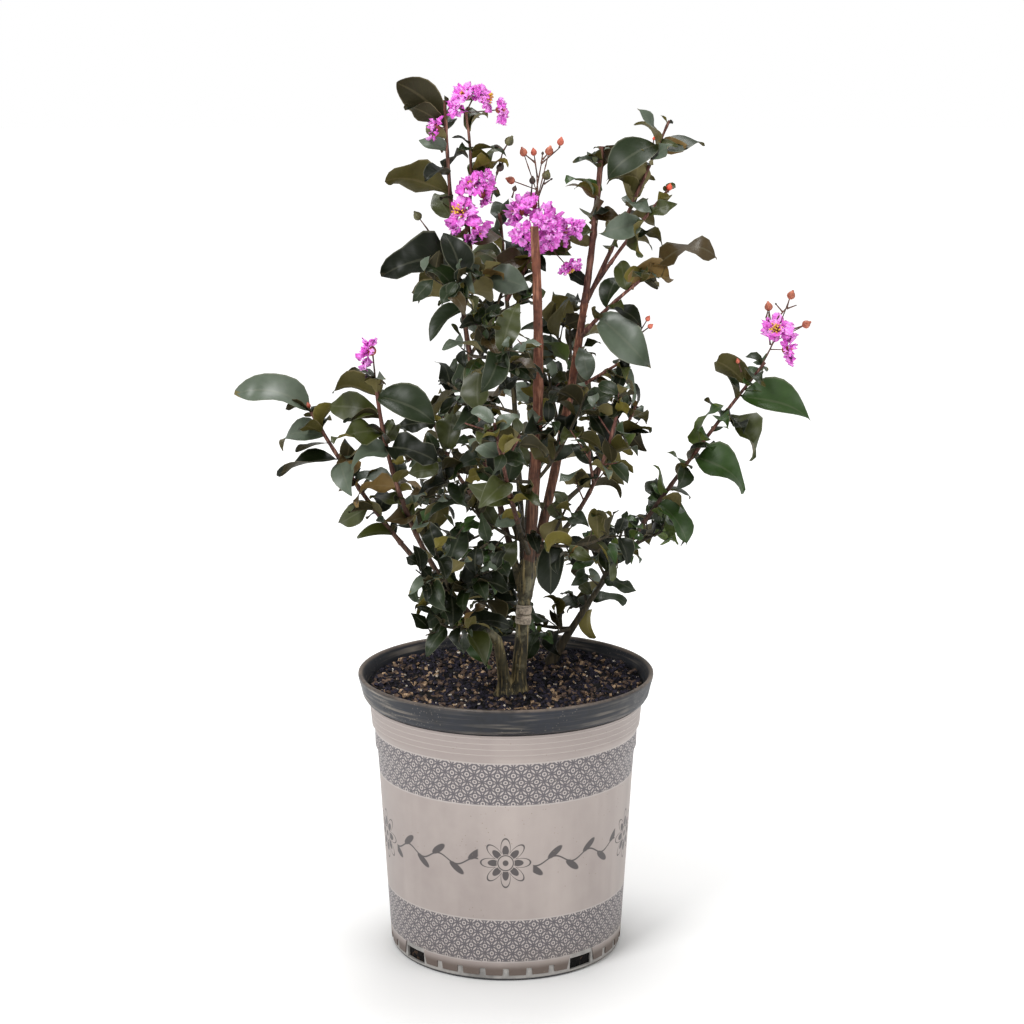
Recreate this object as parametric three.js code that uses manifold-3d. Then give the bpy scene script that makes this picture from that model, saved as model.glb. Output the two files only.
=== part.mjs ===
// Crape myrtle: a young shrub of several stems in a printed nursery pot.
// Millimetres, +Z up. The origin is the middle of the pot's underside and -Y is the front.
// An azimuth is counted from the front towards +X, and a rise from level. Angles are in degrees,
// but roll, the turn of the first pair of leaves round its stem, is in radians.

import * as THREE from "three";
import { mergeVertices } from "three/addons/utils/BufferGeometryUtils.js";
import Module from "manifold-3d";

const wasm = await Module();
wasm.setup();

// Driving dimensions

const GAP = 0.3;
const UP = new THREE.Vector3(0, 0, 1);

const pot = { height: 230, lip: 120, wall: 2, floor: 3, facets: 24, soil: 220 };
const sleeve = { thickness: 0.6, foot: 5, top: 207 };

// Side of the printed sleeve from its foot up, as radius and height: a plain taper, then two
// moulded steps under the rim.
const SIDE = [
  [95.2, 5],
  [103.9, 151],
  [105.0, 166],
  [106.7, 170],
  [107.0, 184],
  [109.2, 188],
  [111.0, 207],
];

// Rim of the pot above the sleeve, outside and then inside.
const RIM = [
  [112.4, 208.5],
  [119.7, 217],
  [120.0, 228],
  [118.6, 230],
  [114.6, 230],
  [113.5, 228.5],
  [112.7, 220],
];

const drain = { first: -50.5, width: 27, top: 17, hole: 22, holeTop: 13 };
const slot = { first: -33.5, step: 11.2, perSide: 6, width: 6, top: 11 };

const bark = { trunkSides: 9, boughSides: 6, twigSides: 3, flare: 3, flareEnd: 0.22, step: 30 };
const stub = { spare: 1.2, step: 0.01, side: 0.4, end: 0.25, room: 0.8 };
const tape = { from: 0.72, to: 0.92, thickness: 0.9 };

// A leaf's greatest width is a share of its length. Short leaves have the plainer outline. An
// outline is given as places along the leaf and half widths there, in leaf widths.
const blade = { width: 0.5, ridge: 1, small: 48 };
const BROAD = [[0.27, 0.46], [0.65, 0.42]];
const NARROW = [[0.42, 0.52]];

const pair = {
  turn: 1.5,
  stray: 0.5,
  wobble: 0.3,
  split: 0.12,
  spread: [0.75, 1.35],
  droop: 0.3,
  reach: [0.78, 1.12],
  shrink: 0.72,
  first: 0.1,
  tip: 0.6,
};
const leafArch = { twist: 1, bend: [0.3, 1.3] };
const shoot = { thick: 3.2, thin: 2, spare: 1.5, step: 30 };
const twig = {
  first: 0.12,
  last: 0.8,
  turn: 2.4,
  stray: 0.4,
  lean: [0.6, 1.1],
  shrink: 0.6,
  vary: [0.8, 1.2],
  lift: 0.12,
  bow: 0.05,
  thick: 1.7,
  taper: 0.75,
  leaf: 0.8,
  gap: 0.9,
  firstLeaf: 0.15,
};
const flower = { sides: 6, flat: 0.6, axis: 2.2, stalk: 1.6, pod: 5 };

// How near a leaf comes to the wood and the leaves of other masses, measured between marks.
const clear = { wood: 2.6, leaf: 4, soil: 4, along: 11, across: 5, step: 3, from: 0.12 };
const cell = { wood: 16, used: 4 };

// Limbs, as quadratic curves. A limb starts at foot, or part way along another limb; bow pushes
// its middle sideways; thick and thin are its diameters. It is bare as far as bare, and leafy
// from there on.
const LIMBS = [
  { name: "main", foot: [9, -30, 220], tip: [15, -25, 296], bow: [1, 0, 0],
    thick: 13, thin: 10, bare: 1, trunk: true },
  { name: "left", foot: [-1, -33, 220], tip: [-6, -36, 263], bow: [1, -1, 2],
    thick: 11, thin: 7.5, bare: 1, trunk: true },
  { name: "centre", from: "main", at: 1, tip: [22, -30, 590], bow: [13, -4, 0],
    thick: 9.5, thin: 6.5, bare: 1 },
  { name: "right_mid", from: "main", at: 1, tip: [76, 30, 649], bow: [17, 24, -6],
    thick: 8.5, thin: 4.5, bare: 0.66 },
  { name: "left_mid", from: "main", at: 1, tip: [-47, 0, 685], bow: [-25, 30, -8],
    thick: 5.5, thin: 2.6, bare: 0.68 },
  { name: "mid_back", from: "main", at: 1, tip: [-5, 52, 595], bow: [5, 60, -22],
    thick: 5.5, thin: 3, bare: 0.82 },
  { name: "left_low", from: "left", at: 1, tip: [-150, -50, 449], bow: [-12, -25, -12],
    thick: 5, thin: 2.8, bare: 0.48 },
  { name: "left_front", from: "left", at: 1, tip: [-99, -70, 478], bow: [-33, -38, -26],
    thick: 5, thin: 3, bare: 0.42 },
  { name: "right_low", foot: [36, 52, 220], tip: [210, 40, 476], bow: [-9, -4, 3],
    thick: 5.2, thin: 2.4, bare: 0.42 },
  { name: "right_front", from: "right_mid", at: 0.1, tip: [88, -64, 463], bow: [15, -38, -23],
    thick: 4.5, thin: 2.2, bare: 0.4 },
  { name: "back", from: "mid_back", at: 0.1, tip: [28, 128, 470], bow: [0, 22, -18],
    thick: 4.6, thin: 2.2, bare: 0.35 },
  { name: "front", from: "centre", at: 0.12, tip: [-8, -150, 456], bow: [0, -20, -14],
    thick: 4.6, thin: 2.2, bare: 0.35 },
  { name: "back_left", from: "left_mid", at: 0.14, tip: [-63, 110, 422], bow: [-14, 16, -14],
    thick: 4.4, thin: 2.2, bare: 0.35 },
  { name: "back_right", from: "right_mid", at: 0.18, tip: [110, 108, 431], bow: [14, 16, -14],
    thick: 4.6, thin: 2.2, bare: 0.35 },
  { name: "right_top", from: "right_mid", at: 0.65, tip: [129, 30, 669], bow: [2, 5, -1],
    thick: 4, thin: 2, bare: 0.3 },
  { name: "right_upper", from: "right_top", at: 0.1, tip: [127, 5, 616], bow: [-3, -5, 2],
    thick: 3.4, thin: 2.2, bare: 0.25 },
  { name: "right_outer", from: "right_mid", at: 0.58, tip: [117, 0, 554], bow: [-4, -3, 4],
    thick: 4, thin: 2.2, bare: 0.1 },
  { name: "mid_high", from: "mid_back", at: 0.79, tip: [28, 8, 580], bow: [4, 4, 2],
    thick: 3.4, thin: 2.2, bare: 0 },
  { name: "left_high", from: "left_mid", at: 0.67, tip: [-31, -4, 678], bow: [14, -3, 0],
    thick: 3.2, thin: 2, bare: 0 },
  { name: "left_bloom", from: "left_mid", at: 0.59, tip: [-29, -14, 592], bow: [8, -6, -2],
    thick: 3.2, thin: 2, bare: 0 },
  { name: "mid_right", from: "right_mid", at: 0.46, tip: [98, -4, 486], bow: [-1, -5, 0],
    thick: 3.2, thin: 2, bare: 0 },
];

// Masses of foliage. One with limb is the leafy end of that limb, and one with on is a shoot
// that leaves a limb's side. leaf is the length of its leaves and gap the space between pairs.
// leaders and late are single leaves, drawn before and after the rest: place along the shoot,
// azimuth, rise and length. A panicle has an axis: place, azimuth, rise and length. Its heads
// are given along the axis: place, azimuth, rise, reach and radius, and a small radius makes a pod.
const MASSES = [
  { name: "left_low", limb: "left_low", leaf: 34, gap: 42, roll: 0.7, seed: 103,
    leaders: [[1, -80, 15, 62], [0.82, -105, -5, 44], [0.66, -75, -10, 51], [0.65, 50, 20, 35],
      [0.66, 20, -40, 37], [0.3, -105, -30, 34], [0.08, -65, 0, 31]],
    late: [[0.5, 80, 0, 38], [0.2, -85, 25, 30]] },
  { name: "left_front", limb: "left_front", leaf: 32, gap: 36, roll: 0.4, seed: 181,
    leaders: [[1, -105, 10, 24], [0.91, -70, 15, 42], [0.83, -100, 5, 45], [0.73, -65, -5, 43],
      [0.91, 75, -20, 53], [0.65, 65, -10, 50], [0.63, -60, -10, 35], [0.42, -65, -5, 40],
      [0.31, -110, 10, 30]],
    panicles: [
      { axis: [0.97, -15, 75, 27], heads: [[1, -90, 25, 2, 12]] },
    ] },
  { name: "left_mid", limb: "left_mid", leaf: 42, gap: 42, roll: 2.9, seed: 749,
    leaders: [[0.88, -75, 35, 53], [0.44, -75, 15, 57], [0.5, 70, 25, 51], [0.03, -75, -10, 63],
      [0.03, -110, -40, 48]],
    late: [[0.7, -80, 20, 24]],
    panicles: [
      { axis: [0.84, -45, -5, 8], heads: [[1, -90, 10, 2, 9]] },
    ] },
  { name: "right_mid", limb: "right_mid", leaf: 34, gap: 44, roll: 1.9, seed: 335,
    leaders: [[0.66, -65, 35, 26], [0.46, -105, -10, 28], [0.52, 60, 15, 25], [0.4, -60, -25, 48],
      [0.34, 50, -20, 24]],
    late: [[0.7, -60, 25, 34]] },
  { name: "right_top", limb: "right_top", leaf: 36, gap: 44, roll: 0.5, seed: 121,
    leaders: [[0.82, -75, -30, 54], [0.77, 100, 15, 42], [0.82, -70, 60, 34], [0.38, 35, 75, 44],
      [0.02, 50, 40, 36]] },
  { name: "right_upper", limb: "right_upper", leaf: 30, gap: 34, roll: 0.8, seed: 743,
    leaders: [[0.94, -125, -50, 30], [0.66, 65, 20, 26], [0.6, -10, -60, 34], [0.38, 110, -5, 29]],
    late: [[0.55, -55, -10, 42]] },
  { name: "right_outer", limb: "right_outer", leaf: 34, gap: 38, roll: 2.22, seed: 514,
    leaders: [[1, 80, 20, 56], [0.66, 65, 15, 43], [0.62, 45, 55, 28], [0.21, 60, -40, 61],
      [0.06, 50, -30, 45]] },
  { name: "right_low", limb: "right_low", leaf: 36, gap: 46, roll: 2.2, seed: 116,
    leaders: [[0.87, -70, 35, 39], [0.98, -120, 25, 18], [0.81, 75, -10, 63], [0.69, 60, -40, 47],
      [0.51, 50, 65, 45], [0.47, 70, -25, 56], [0.41, -20, -40, 28], [0.24, -15, 65, 32],
      [0.2, 55, -45, 44], [0.19, 115, -60, 38]],
    panicles: [
      { axis: [0.97, 80, 65, 33], heads: [[1, -25, 20, 4, 12], [0.5, 80, 0, 14, 11],
        [0.7, -120, 80, 29, 3.6], [0.5, 80, 70, 47, 3.6], [0.7, 80, 30, 30, 3.6]] },
    ] },
  { name: "left_high", limb: "left_high", leaf: 40, gap: 36, roll: 1.4, seed: 165,
    leaders: [[0.69, -135, 20, 22]],
    late: [[0.62, 65, 15, 34], [0.78, -60, 35, 16], [0.74, 80, 5, 30]],
    panicles: [
      { axis: [0.98, 60, 60, 11], heads: [[1, -55, 30, 8, 11], [1, 75, 10, 9, 11],
        [0, 85, 5, 27, 10]] },
    ] },
  { name: "left_bloom", limb: "left_bloom", leaf: 34, gap: 30, roll: 1, seed: 890,
    leaders: [[0.04, -60, -35, 40], [0.6, 60, 10, 27]],
    late: [[0.25, 80, 3, 50]],
    panicles: [
      { axis: [0.98, 35, 80, 25], heads: [[1, -20, 60, 6, 12], [1, 100, -10, 10, 11],
        [0.3, -40, 15, 8, 13], [0, 60, -30, 9, 11]] },
    ] },
  { name: "mid_high", limb: "mid_high", leaf: 36, gap: 32, roll: 1.5, seed: 558,
    late: [[0.6, -75, -15, 36], [0.3, 45, 35, 58]],
    panicles: [
      { axis: [0.98, -130, 85, 46], heads: [[0.3, -75, 20, 19, 13], [0.6, -130, -20, 7, 12],
        [0.2, 45, 20, 8, 13], [0, 80, 15, 18, 13], [0, -50, -15, 8, 12], [0, 70, -45, 31, 9],
        [0.8, -80, 20, 23, 3.6], [0.7, -110, 70, 36, 3.6], [0.7, 110, 75, 36, 3.6]] },
    ] },
  { name: "mid_back", limb: "mid_back", leaf: 38, gap: 30, roll: 2.6, seed: 970 },
  { name: "mid_right", limb: "mid_right", leaf: 32, gap: 30, roll: 1.1, seed: 883,
    leaders: [[0.98, 75, 0, 46], [0.96, -50, -70, 32], [0.6, 65, -35, 36]] },
  { name: "right_front", limb: "right_front", leaf: 36, gap: 28,
    roll: 0.6, seed: 727, twigs: 2, side: 34, end: true },
  { name: "back", limb: "back", leaf: 40, gap: 32, roll: 2.92, seed: 99, twigs: 2, side: 44, end: true },
  { name: "front", limb: "front", leaf: 36, gap: 28, roll: 0.4, seed: 99, twigs: 2, side: 38, end: true },
  { name: "back_left", limb: "back_left", leaf: 40, gap: 32,
    roll: 3, seed: 314, twigs: 2, side: 44, end: true },
  { name: "back_right", limb: "back_right", leaf: 40, gap: 32,
    roll: 1.82, seed: 153, twigs: 2, side: 44, end: true },
  { name: "mid_front", on: "left_mid", at: 0.5, azimuth: 20, rise: 10, reach: 90, sag: 0.08,
    leaf: 48, gap: 28, roll: 1.9, seed: 938, twigs: 2, side: 34 },
  { name: "mid_front_right", on: "centre", at: 0.32, azimuth: 70, rise: 60, reach: 85, sag: 0.14,
    leaf: 48, gap: 28, roll: 0.9, seed: 72, twigs: 2, side: 34 },
  { name: "mid_rear_right", on: "left_mid", at: 0.5, azimuth: 120, rise: 60, reach: 65, sag: 0.14,
    leaf: 48, gap: 32, roll: 2.6, seed: 793, twigs: 2, side: 42 },
  { name: "mid_rear", on: "right_mid", at: 0.48, azimuth: 180, rise: 30, reach: 85, sag: 0.08,
    leaf: 48, gap: 28, roll: 2.1, seed: 179, twigs: 1, side: 42 },
  { name: "mid_rear_left", on: "right_mid", at: 0.36, azimuth: 195, rise: 50, reach: 60, sag: 0.08,
    leaf: 44, gap: 28, roll: 0.3, seed: 523, twigs: 2, side: 42 },
  { name: "mid_left", on: "mid_back", at: 0.5, azimuth: 250, rise: 20, reach: 65, sag: 0.08,
    leaf: 44, gap: 28, roll: 3.1, seed: 457, twigs: 2, side: 34 },
  { name: "mid_front_left", on: "centre", at: 0.32, azimuth: 270, rise: 10, reach: 70, sag: 0.08,
    leaf: 48, gap: 32, roll: 1.8, seed: 117, twigs: 2, side: 42 },
  { name: "mid_inner", on: "left_mid", at: 0.62, azimuth: 0, rise: 20, reach: 70, sag: 0.14,
    leaf: 44, gap: 28, roll: 2.8, seed: 731, twigs: 2, side: 34 },
  { name: "low_front", on: "left_front", at: 0.18, azimuth: 345, rise: 40, reach: 100, sag: 0.14,
    leaf: 38, gap: 24, roll: 2.9, seed: 847, twigs: 2, side: 40, end: true,
    late: [[0.5, 85, 8, 50], [0.25, -60, -30, 38]] },
  { name: "low_front_right", on: "front", at: 0.2, azimuth: 40, rise: 10, reach: 100, sag: 0.14,
    leaf: 38, gap: 27, roll: 1.7, seed: 347, twigs: 2, side: 34, end: true },
  { name: "low_right", on: "left_low", at: 0.34, azimuth: 65, rise: 30, reach: 60, sag: 0.08,
    leaf: 38, gap: 24, roll: 1.7, seed: 614, twigs: 2, side: 34, end: true },
  { name: "low_rear_right", on: "left_low", at: 0.2, azimuth: 145, rise: 10, reach: 55, sag: 0.08,
    leaf: 38, gap: 24, roll: 1.9, seed: 463, twigs: 2, side: 40, end: true },
  { name: "low_rear", on: "right_low", at: 0.18, azimuth: 170, rise: 0, reach: 55, sag: 0.14,
    leaf: 38, gap: 27, roll: 1.6, seed: 748, twigs: 2, side: 40, end: true },
  { name: "low_rear_left", on: "back_left", at: 0.26, azimuth: 225, rise: 0, reach: 80, sag: 0.08,
    leaf: 38, gap: 27, roll: 3, seed: 967, twigs: 2, side: 40, end: true },
  { name: "low_left", on: "right_low", at: 0.12, azimuth: 245, rise: 10, reach: 90, sag: 0.14,
    leaf: 38, gap: 24, roll: 2.1, seed: 499, twigs: 2, side: 34, end: true,
    late: [[0.42, 10, -25, 28]] },
  { name: "low_front_left", on: "right_mid", at: 0.12, azimuth: 300, rise: 30, reach: 70, sag: 0.14,
    leaf: 35, gap: 24, roll: 1.9, seed: 200, twigs: 2, side: 40, end: true },
  { name: "low_inner", on: "left_front", at: 0.12, azimuth: 335, rise: 10, reach: 60, sag: 0.14,
    leaf: 35, gap: 27, roll: 0.6, seed: 363, twigs: 2, side: 40, end: true,
    late: [[0.2, -20, -70, 26], [0.02, 30, -65, 42], [0.3, 75, 10, 38], [0.15, 55, 0, 34]] },
  { name: "side_front", on: "right_low", at: 0.24, azimuth: 35, rise: 60, reach: 80, sag: 0.08,
    leaf: 31, gap: 20, roll: 1.2, seed: 114, twigs: 2, side: 32 },
  { name: "side_rear", on: "right_low", at: 0.38, azimuth: 135, rise: 20, reach: 60, sag: 0.08,
    leaf: 37, gap: 24, roll: 0.5, seed: 598, twigs: 2, side: 26 },
  { name: "side_inner", on: "right_low", at: 0.12, azimuth: 310, rise: 10, reach: 70, sag: 0.14,
    leaf: 34, gap: 20, roll: 3, seed: 578, twigs: 1, side: 26 },
];

// Growth

// A repeatable stream of numbers from 0 to 1.
function stream(seed) {
  let state = seed;
  return () => {
    state = (state + 0x6d2b79f5) | 0;
    let t = Math.imul(state ^ (state >>> 15), state | 1);
    t ^= t + Math.imul(t ^ (t >>> 7), t | 61);
    return ((t ^ (t >>> 14)) >>> 0) / 4294967296;
  };
}

const mix = (a, b, t) => a + (b - a) * t;
const radians = THREE.MathUtils.degToRad;
const vector = (list) => new THREE.Vector3(...list);
const sum = (a, b, k = 1) => a.clone().addScaledVector(b, k);
const cross = (a, b) => new THREE.Vector3().crossVectors(a, b);

function toward(azimuth, rise) {
  const a = radians(azimuth);
  const e = radians(rise);
  return new THREE.Vector3(Math.cos(e) * Math.sin(a), -Math.cos(e) * Math.cos(a), Math.sin(e));
}

// A tapering stem: a quadratic curve from foot to tip whose middle is pushed out by bow.
class Stem {
  constructor(foot, tip, bow, thick, thin) {
    this.foot = foot;
    this.tip = tip;
    this.mid = sum(foot, tip).multiplyScalar(0.5).add(bow);
    this.thick = thick;
    this.thin = thin;
    const curve = new THREE.QuadraticBezierCurve3(foot, this.mid, tip);
    this.curve = curve;
    const chords = curve.getPoints(16);
    this.length = chords.slice(1).reduce((total, p, i) => total + p.distanceTo(chords[i]), 0);
  }

  at(t) {
    return this.curve.getPoint(t);
  }

  heading(t) {
    return this.curve.getTangent(THREE.MathUtils.clamp(t, 0, 1));
  }

  radius(t) {
    return mix(this.thick, this.thin, t) / 2;
  }

  // The part of this stem beyond t, as a stem of its own.
  beyond(t) {
    const foot = this.at(t);
    const mid = this.mid.clone().lerp(this.tip, t);
    const bow = sum(mid, sum(foot, this.tip), -0.5);
    return new Stem(foot, this.tip, bow, 2 * this.radius(t), this.thin);
  }
}

// The direction square to a stem, turned by angle from level towards up.
function outward(heading, angle) {
  const level = cross(heading, UP).normalize();
  const high = cross(level, heading);
  return level.multiplyScalar(Math.cos(angle)).addScaledVector(high, Math.sin(angle));
}

// A leaf arches along a circle: chord points from its root to its tip.
function arch(root, chord, length, draw) {
  let face = sum(UP, chord, -UP.dot(chord));
  face = face.lengthSq() > 0.01 ? face.normalize() : new THREE.Vector3(0, -1, 0);
  const side = cross(chord, face);
  const twist = mix(-leafArch.twist, leafArch.twist, draw());
  const bend = mix(...leafArch.bend, draw());
  face = face.multiplyScalar(Math.cos(twist)).addScaledVector(side, Math.sin(twist));
  const half = bend / 2;
  const along = sum(chord.clone().multiplyScalar(Math.cos(half)), face, Math.sin(half));
  const normal = sum(face.clone().multiplyScalar(Math.cos(half)), chord, -Math.sin(half));
  return { root, along, normal, bend, length: (length * half) / Math.sin(half) };
}

// A leaf that leaves the stem at angle round it, spread and drooping a little.
function sideLeaf(stem, t, angle, length, draw) {
  const heading = stem.heading(t);
  const spread = mix(...pair.spread, draw());
  const chord = heading.clone().multiplyScalar(Math.cos(spread));
  chord.addScaledVector(outward(heading, angle), Math.sin(spread));
  chord.addScaledVector(UP, -pair.droop * draw()).normalize();
  const reach = length * mix(...pair.reach, draw());
  return arch(stem.at(t), chord, reach, draw);
}

// Pairs of leaves along a stem, each pair turned on from the one before.
function pairs(stem, draw, length, gap, roll, first, end) {
  const leaves = [];
  const count = Math.max(1, Math.round((stem.length * (1 - first)) / gap));
  for (let i = 0; i < count; i++) {
    const t = mix(first, 1, (i + 0.5) / count);
    const angle = roll + i * pair.turn + mix(-pair.stray, pair.stray, draw());
    const size = length * mix(1, pair.shrink, t * t);
    for (const k of [0, 1]) {
      const place = Math.min(1, t + ((k * pair.split * gap) / stem.length) * draw());
      const turn = angle + k * Math.PI + mix(-pair.wobble, pair.wobble, draw());
      leaves.push(sideLeaf(stem, place, turn, size, draw));
    }
  }
  if (end) leaves.push(sideLeaf(stem, 1, roll, length * pair.tip, draw));
  return leaves;
}

function sideTwig(stem, t, angle, lean, length) {
  const heading = stem.heading(t);
  const out = outward(heading, angle);
  const foot = stem.at(t);
  const way = heading.clone().multiplyScalar(Math.cos(lean)).addScaledVector(out, Math.sin(lean));
  const tip = sum(foot, way.normalize(), length).addScaledVector(UP, twig.lift * length);
  const thick = stem.radius(t) * twig.thick;
  return new Stem(foot, tip, out.multiplyScalar(twig.bow * length), thick, thick * twig.taper);
}

// Everything one mass grows from its stem, by its own seed. hasRoom says whether a twig fits.
function grow(plan, stem, hasRoom) {
  const draw = stream(plan.seed);
  const single = ([at, azimuth, rise, length]) =>
    arch(stem.at(at), toward(azimuth, rise), length, draw);
  const leaves = (plan.leaders ?? []).map(single);
  leaves.push(...pairs(stem, draw, plan.leaf, plan.gap, plan.roll, pair.first, plan.end));
  const shoots = [stem];
  const count = plan.twigs ?? 0;
  for (let k = 0; k < count; k++) {
    const t = mix(twig.first, twig.last, (k + 0.5) / count);
    const angle = plan.roll + k * twig.turn + mix(-twig.stray, twig.stray, draw());
    const length = plan.side * mix(1, twig.shrink, t) * mix(...twig.vary, draw());
    const side = sideTwig(stem, t, angle, mix(...twig.lean, draw()), length);
    const leaf = plan.leaf * twig.leaf;
    const gap = plan.gap * twig.gap;
    const spray = pairs(side, draw, leaf, gap, plan.roll + k, twig.firstLeaf, true);
    if (hasRoom(side)) {
      shoots.push(side);
      leaves.push(...spray);
    }
  }
  leaves.push(...(plan.late ?? []).map(single));
  return { shoots, leaves };
}

// A point of a leaf: u runs from root to tip, h to the sides in leaf widths, lift off its face.
function leafPoint(leaf, u, h, lift = 0) {
  const turn = leaf.bend * u;
  const round = leaf.length / leaf.bend;
  const side = cross(leaf.along, leaf.normal);
  return sum(leaf.root, leaf.along, (round + lift) * Math.sin(turn))
    .addScaledVector(leaf.normal, (round + lift) * Math.cos(turn) - round)
    .addScaledVector(side, h * blade.width * leaf.length);
}

// Keeping apart

// Marks in space, each with a radius and an owner, sorted into cells.
class Marks {
  constructor(cell) {
    this.cell = cell;
    this.cells = new Map();
  }

  index(value) {
    return Math.floor(value / this.cell);
  }

  add(point, radius, owner) {
    const key = [point.x, point.y, point.z].map((v) => this.index(v)).join();
    if (!this.cells.has(key)) this.cells.set(key, []);
    this.cells.get(key).push({ point, radius, owner });
  }

  // Whether a point comes nearer than reach to a mark of anyone but owner.
  blocks(point, reach, owner) {
    const [x, y, z] = [point.x, point.y, point.z].map((v) => this.index(v));
    for (let i = x - 1; i <= x + 1; i++) {
      for (let j = y - 1; j <= y + 1; j++) {
        for (let k = z - 1; k <= z + 1; k++) {
          for (const mark of this.cells.get([i, j, k].join()) ?? []) {
            if (mark.owner === owner) continue;
            if (mark.point.distanceTo(point) - mark.radius < reach) return true;
          }
        }
      }
    }
    return false;
  }
}

function stemMarks(stem, from = 0) {
  const count = Math.max(3, Math.floor(stem.length / clear.step));
  return Array.from({ length: count + 1 }, (_, i) => mix(from, 1, i / count));
}

function halfWidth(u) {
  const stations = [[0, 0], ...BROAD, [1, 0]];
  const i = stations.findIndex(([at]) => at >= u);
  const [a, b] = [stations[Math.max(0, i - 1)], stations[i]];
  return b[0] === a[0] ? b[1] : mix(a[1], b[1], (u - a[0]) / (b[0] - a[0]));
}

function leafMarks(leaf) {
  const points = [];
  for (let i = 0; i < clear.along; i++) {
    const u = mix(clear.from, 1, i / (clear.along - 1));
    for (let j = 0; j < clear.across; j++) {
      const h = mix(-1, 1, j / (clear.across - 1)) * halfWidth(u);
      points.push(leafPoint(leaf, u, h));
    }
  }
  return points;
}

// Solids

function toSolid(geometry) {
  geometry.deleteAttribute("normal");
  geometry.deleteAttribute("uv");
  const merged = mergeVertices(geometry, 1e-4);
  const vertProperties = new Float32Array(merged.attributes.position.array);
  const triVerts = new Uint32Array(merged.index.array);
  return new wasm.Manifold(new wasm.Mesh({ numProp: 3, vertProperties, triVerts }));
}

function toMesh(name, solid, material) {
  const { vertProperties, triVerts } = solid.getMesh();
  const geometry = new THREE.BufferGeometry();
  geometry.setAttribute("position", new THREE.BufferAttribute(vertProperties.slice(), 3));
  geometry.setIndex(new THREE.BufferAttribute(triVerts.slice(), 1));
  geometry.computeVertexNormals();
  const mesh = new THREE.Mesh(geometry, material);
  mesh.name = name;
  return mesh;
}

function join(solids) {
  return solids.length > 1 ? wasm.Manifold.union(solids) : solids[0];
}

// The largest piece of a solid, with slivers closed up and loose scraps dropped.
function whole(solid) {
  const pieces = solid.simplify(0.02).decompose();
  return pieces.reduce((a, b) => (b.volume() > a.volume() ? b : a));
}

// A tapering cylinder bent along a stem, from one place on it to another.
function woodSolid(stem, sides, { from = 0, to = 1, extra = 0, flare = 0 } = {}) {
  const step = sides > bark.twigSides ? bark.step : shoot.step;
  const steps = Math.max(1, Math.round((stem.length * (to - from)) / step));
  const geometry = new THREE.CylinderGeometry(1, 1, 1, sides, steps);
  const position = geometry.attributes.position;
  for (let i = 0; i < position.count; i++) {
    const t = mix(from, to, position.getY(i) + 0.5);
    const heading = stem.heading(t);
    const spread = flare * Math.max(0, 1 - t / bark.flareEnd) ** 2;
    const radius = stem.radius(t) + extra + spread;
    const point = stem.at(t)
      .addScaledVector(outward(heading, 0), radius * position.getX(i))
      .addScaledVector(outward(heading, Math.PI / 2), radius * position.getZ(i));
    position.setXYZ(i, point.x, point.y, point.z);
  }
  return toSolid(geometry);
}

// A leaf: a level underside across, and a ridge along the middle of the upper side.
function leafSolid(leaf) {
  const stations = leaf.length < blade.small ? NARROW : BROAD;
  const points = [leaf.root, leafPoint(leaf, 1, 0)];
  for (const [u, h] of stations) {
    points.push(leafPoint(leaf, u, h), leafPoint(leaf, u, -h), leafPoint(leaf, u, 0, blade.ridge));
  }
  const faces = [];
  const [root, tip] = [0, 1];
  const last = points.length - 3;
  faces.push(root, 2, 4, root, 4, 3, root, 3, 2);
  for (let right = 2; right < last; right += 3) {
    const [left, ridge, nextRight, nextLeft, nextRidge] = [1, 2, 3, 4, 5].map((k) => right + k);
    faces.push(right, nextRight, nextRidge, right, nextRidge, ridge);
    faces.push(ridge, nextRidge, nextLeft, ridge, nextLeft, left);
    faces.push(right, left, nextLeft, right, nextLeft, nextRight);
  }
  faces.push(last, tip, last + 2, last + 2, tip, last + 1, last, last + 1, tip);
  const geometry = new THREE.BufferGeometry().setFromPoints(points);
  geometry.setIndex(faces);
  return toSolid(geometry);
}

function headSolid(head) {
  const isPod = head.radius < flower.pod;
  const geometry = isPod
    ? new THREE.OctahedronGeometry(head.radius)
    : new THREE.SphereGeometry(head.radius, flower.sides, 2).scale(1, flower.flat, 1);
  const poles = new THREE.Vector3(0, 1, 0);
  geometry.applyQuaternion(new THREE.Quaternion().setFromUnitVectors(poles, head.way));
  geometry.translate(...head.point);
  return toSolid(geometry);
}

// A body of revolution from a closed outline of radii and heights.
function turned(outline) {
  const profile = [...outline, outline[0]].map(([radius, height]) => new THREE.Vector2(radius, height));
  const geometry = new THREE.LatheGeometry(profile, pot.facets);
  geometry.rotateX(Math.PI / 2);
  return toSolid(geometry);
}

// A block that stands across the pot's wall at an azimuth.
function wallCutter(azimuth, width, low, high) {
  const depth = 24;
  const geometry = new THREE.BoxGeometry(width, depth, high - low);
  geometry.translate(0, -SIDE[0][0], (low + high) / 2);
  geometry.rotateZ(radians(azimuth));
  return toSolid(geometry);
}

// Pot and potting mix

const inset = (outline, by) => outline.map(([radius, height]) => [radius - by, height]);
const potSide = inset(SIDE, sleeve.thickness + GAP);
const potLining = inset(potSide, pot.wall).filter(([, height]) => height > pot.floor);

const materials = {
  pot: new THREE.MeshStandardMaterial({ color: "#474c59", roughness: 0.42 }),
  sleeve: new THREE.MeshStandardMaterial({ color: "#b3aaa4", roughness: 0.5 }),
  soil: new THREE.MeshStandardMaterial({ color: "#2a2420", roughness: 0.95 }),
  tape: new THREE.MeshStandardMaterial({ color: "#cbc9c0", roughness: 0.7 }),
  bark: new THREE.MeshStandardMaterial({ color: "#80573f", roughness: 0.8 }),
  foliage: new THREE.MeshStandardMaterial({ color: "#2f3b30", roughness: 0.6 }),
};

const quarters = [0, 90, 180, 270];

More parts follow.
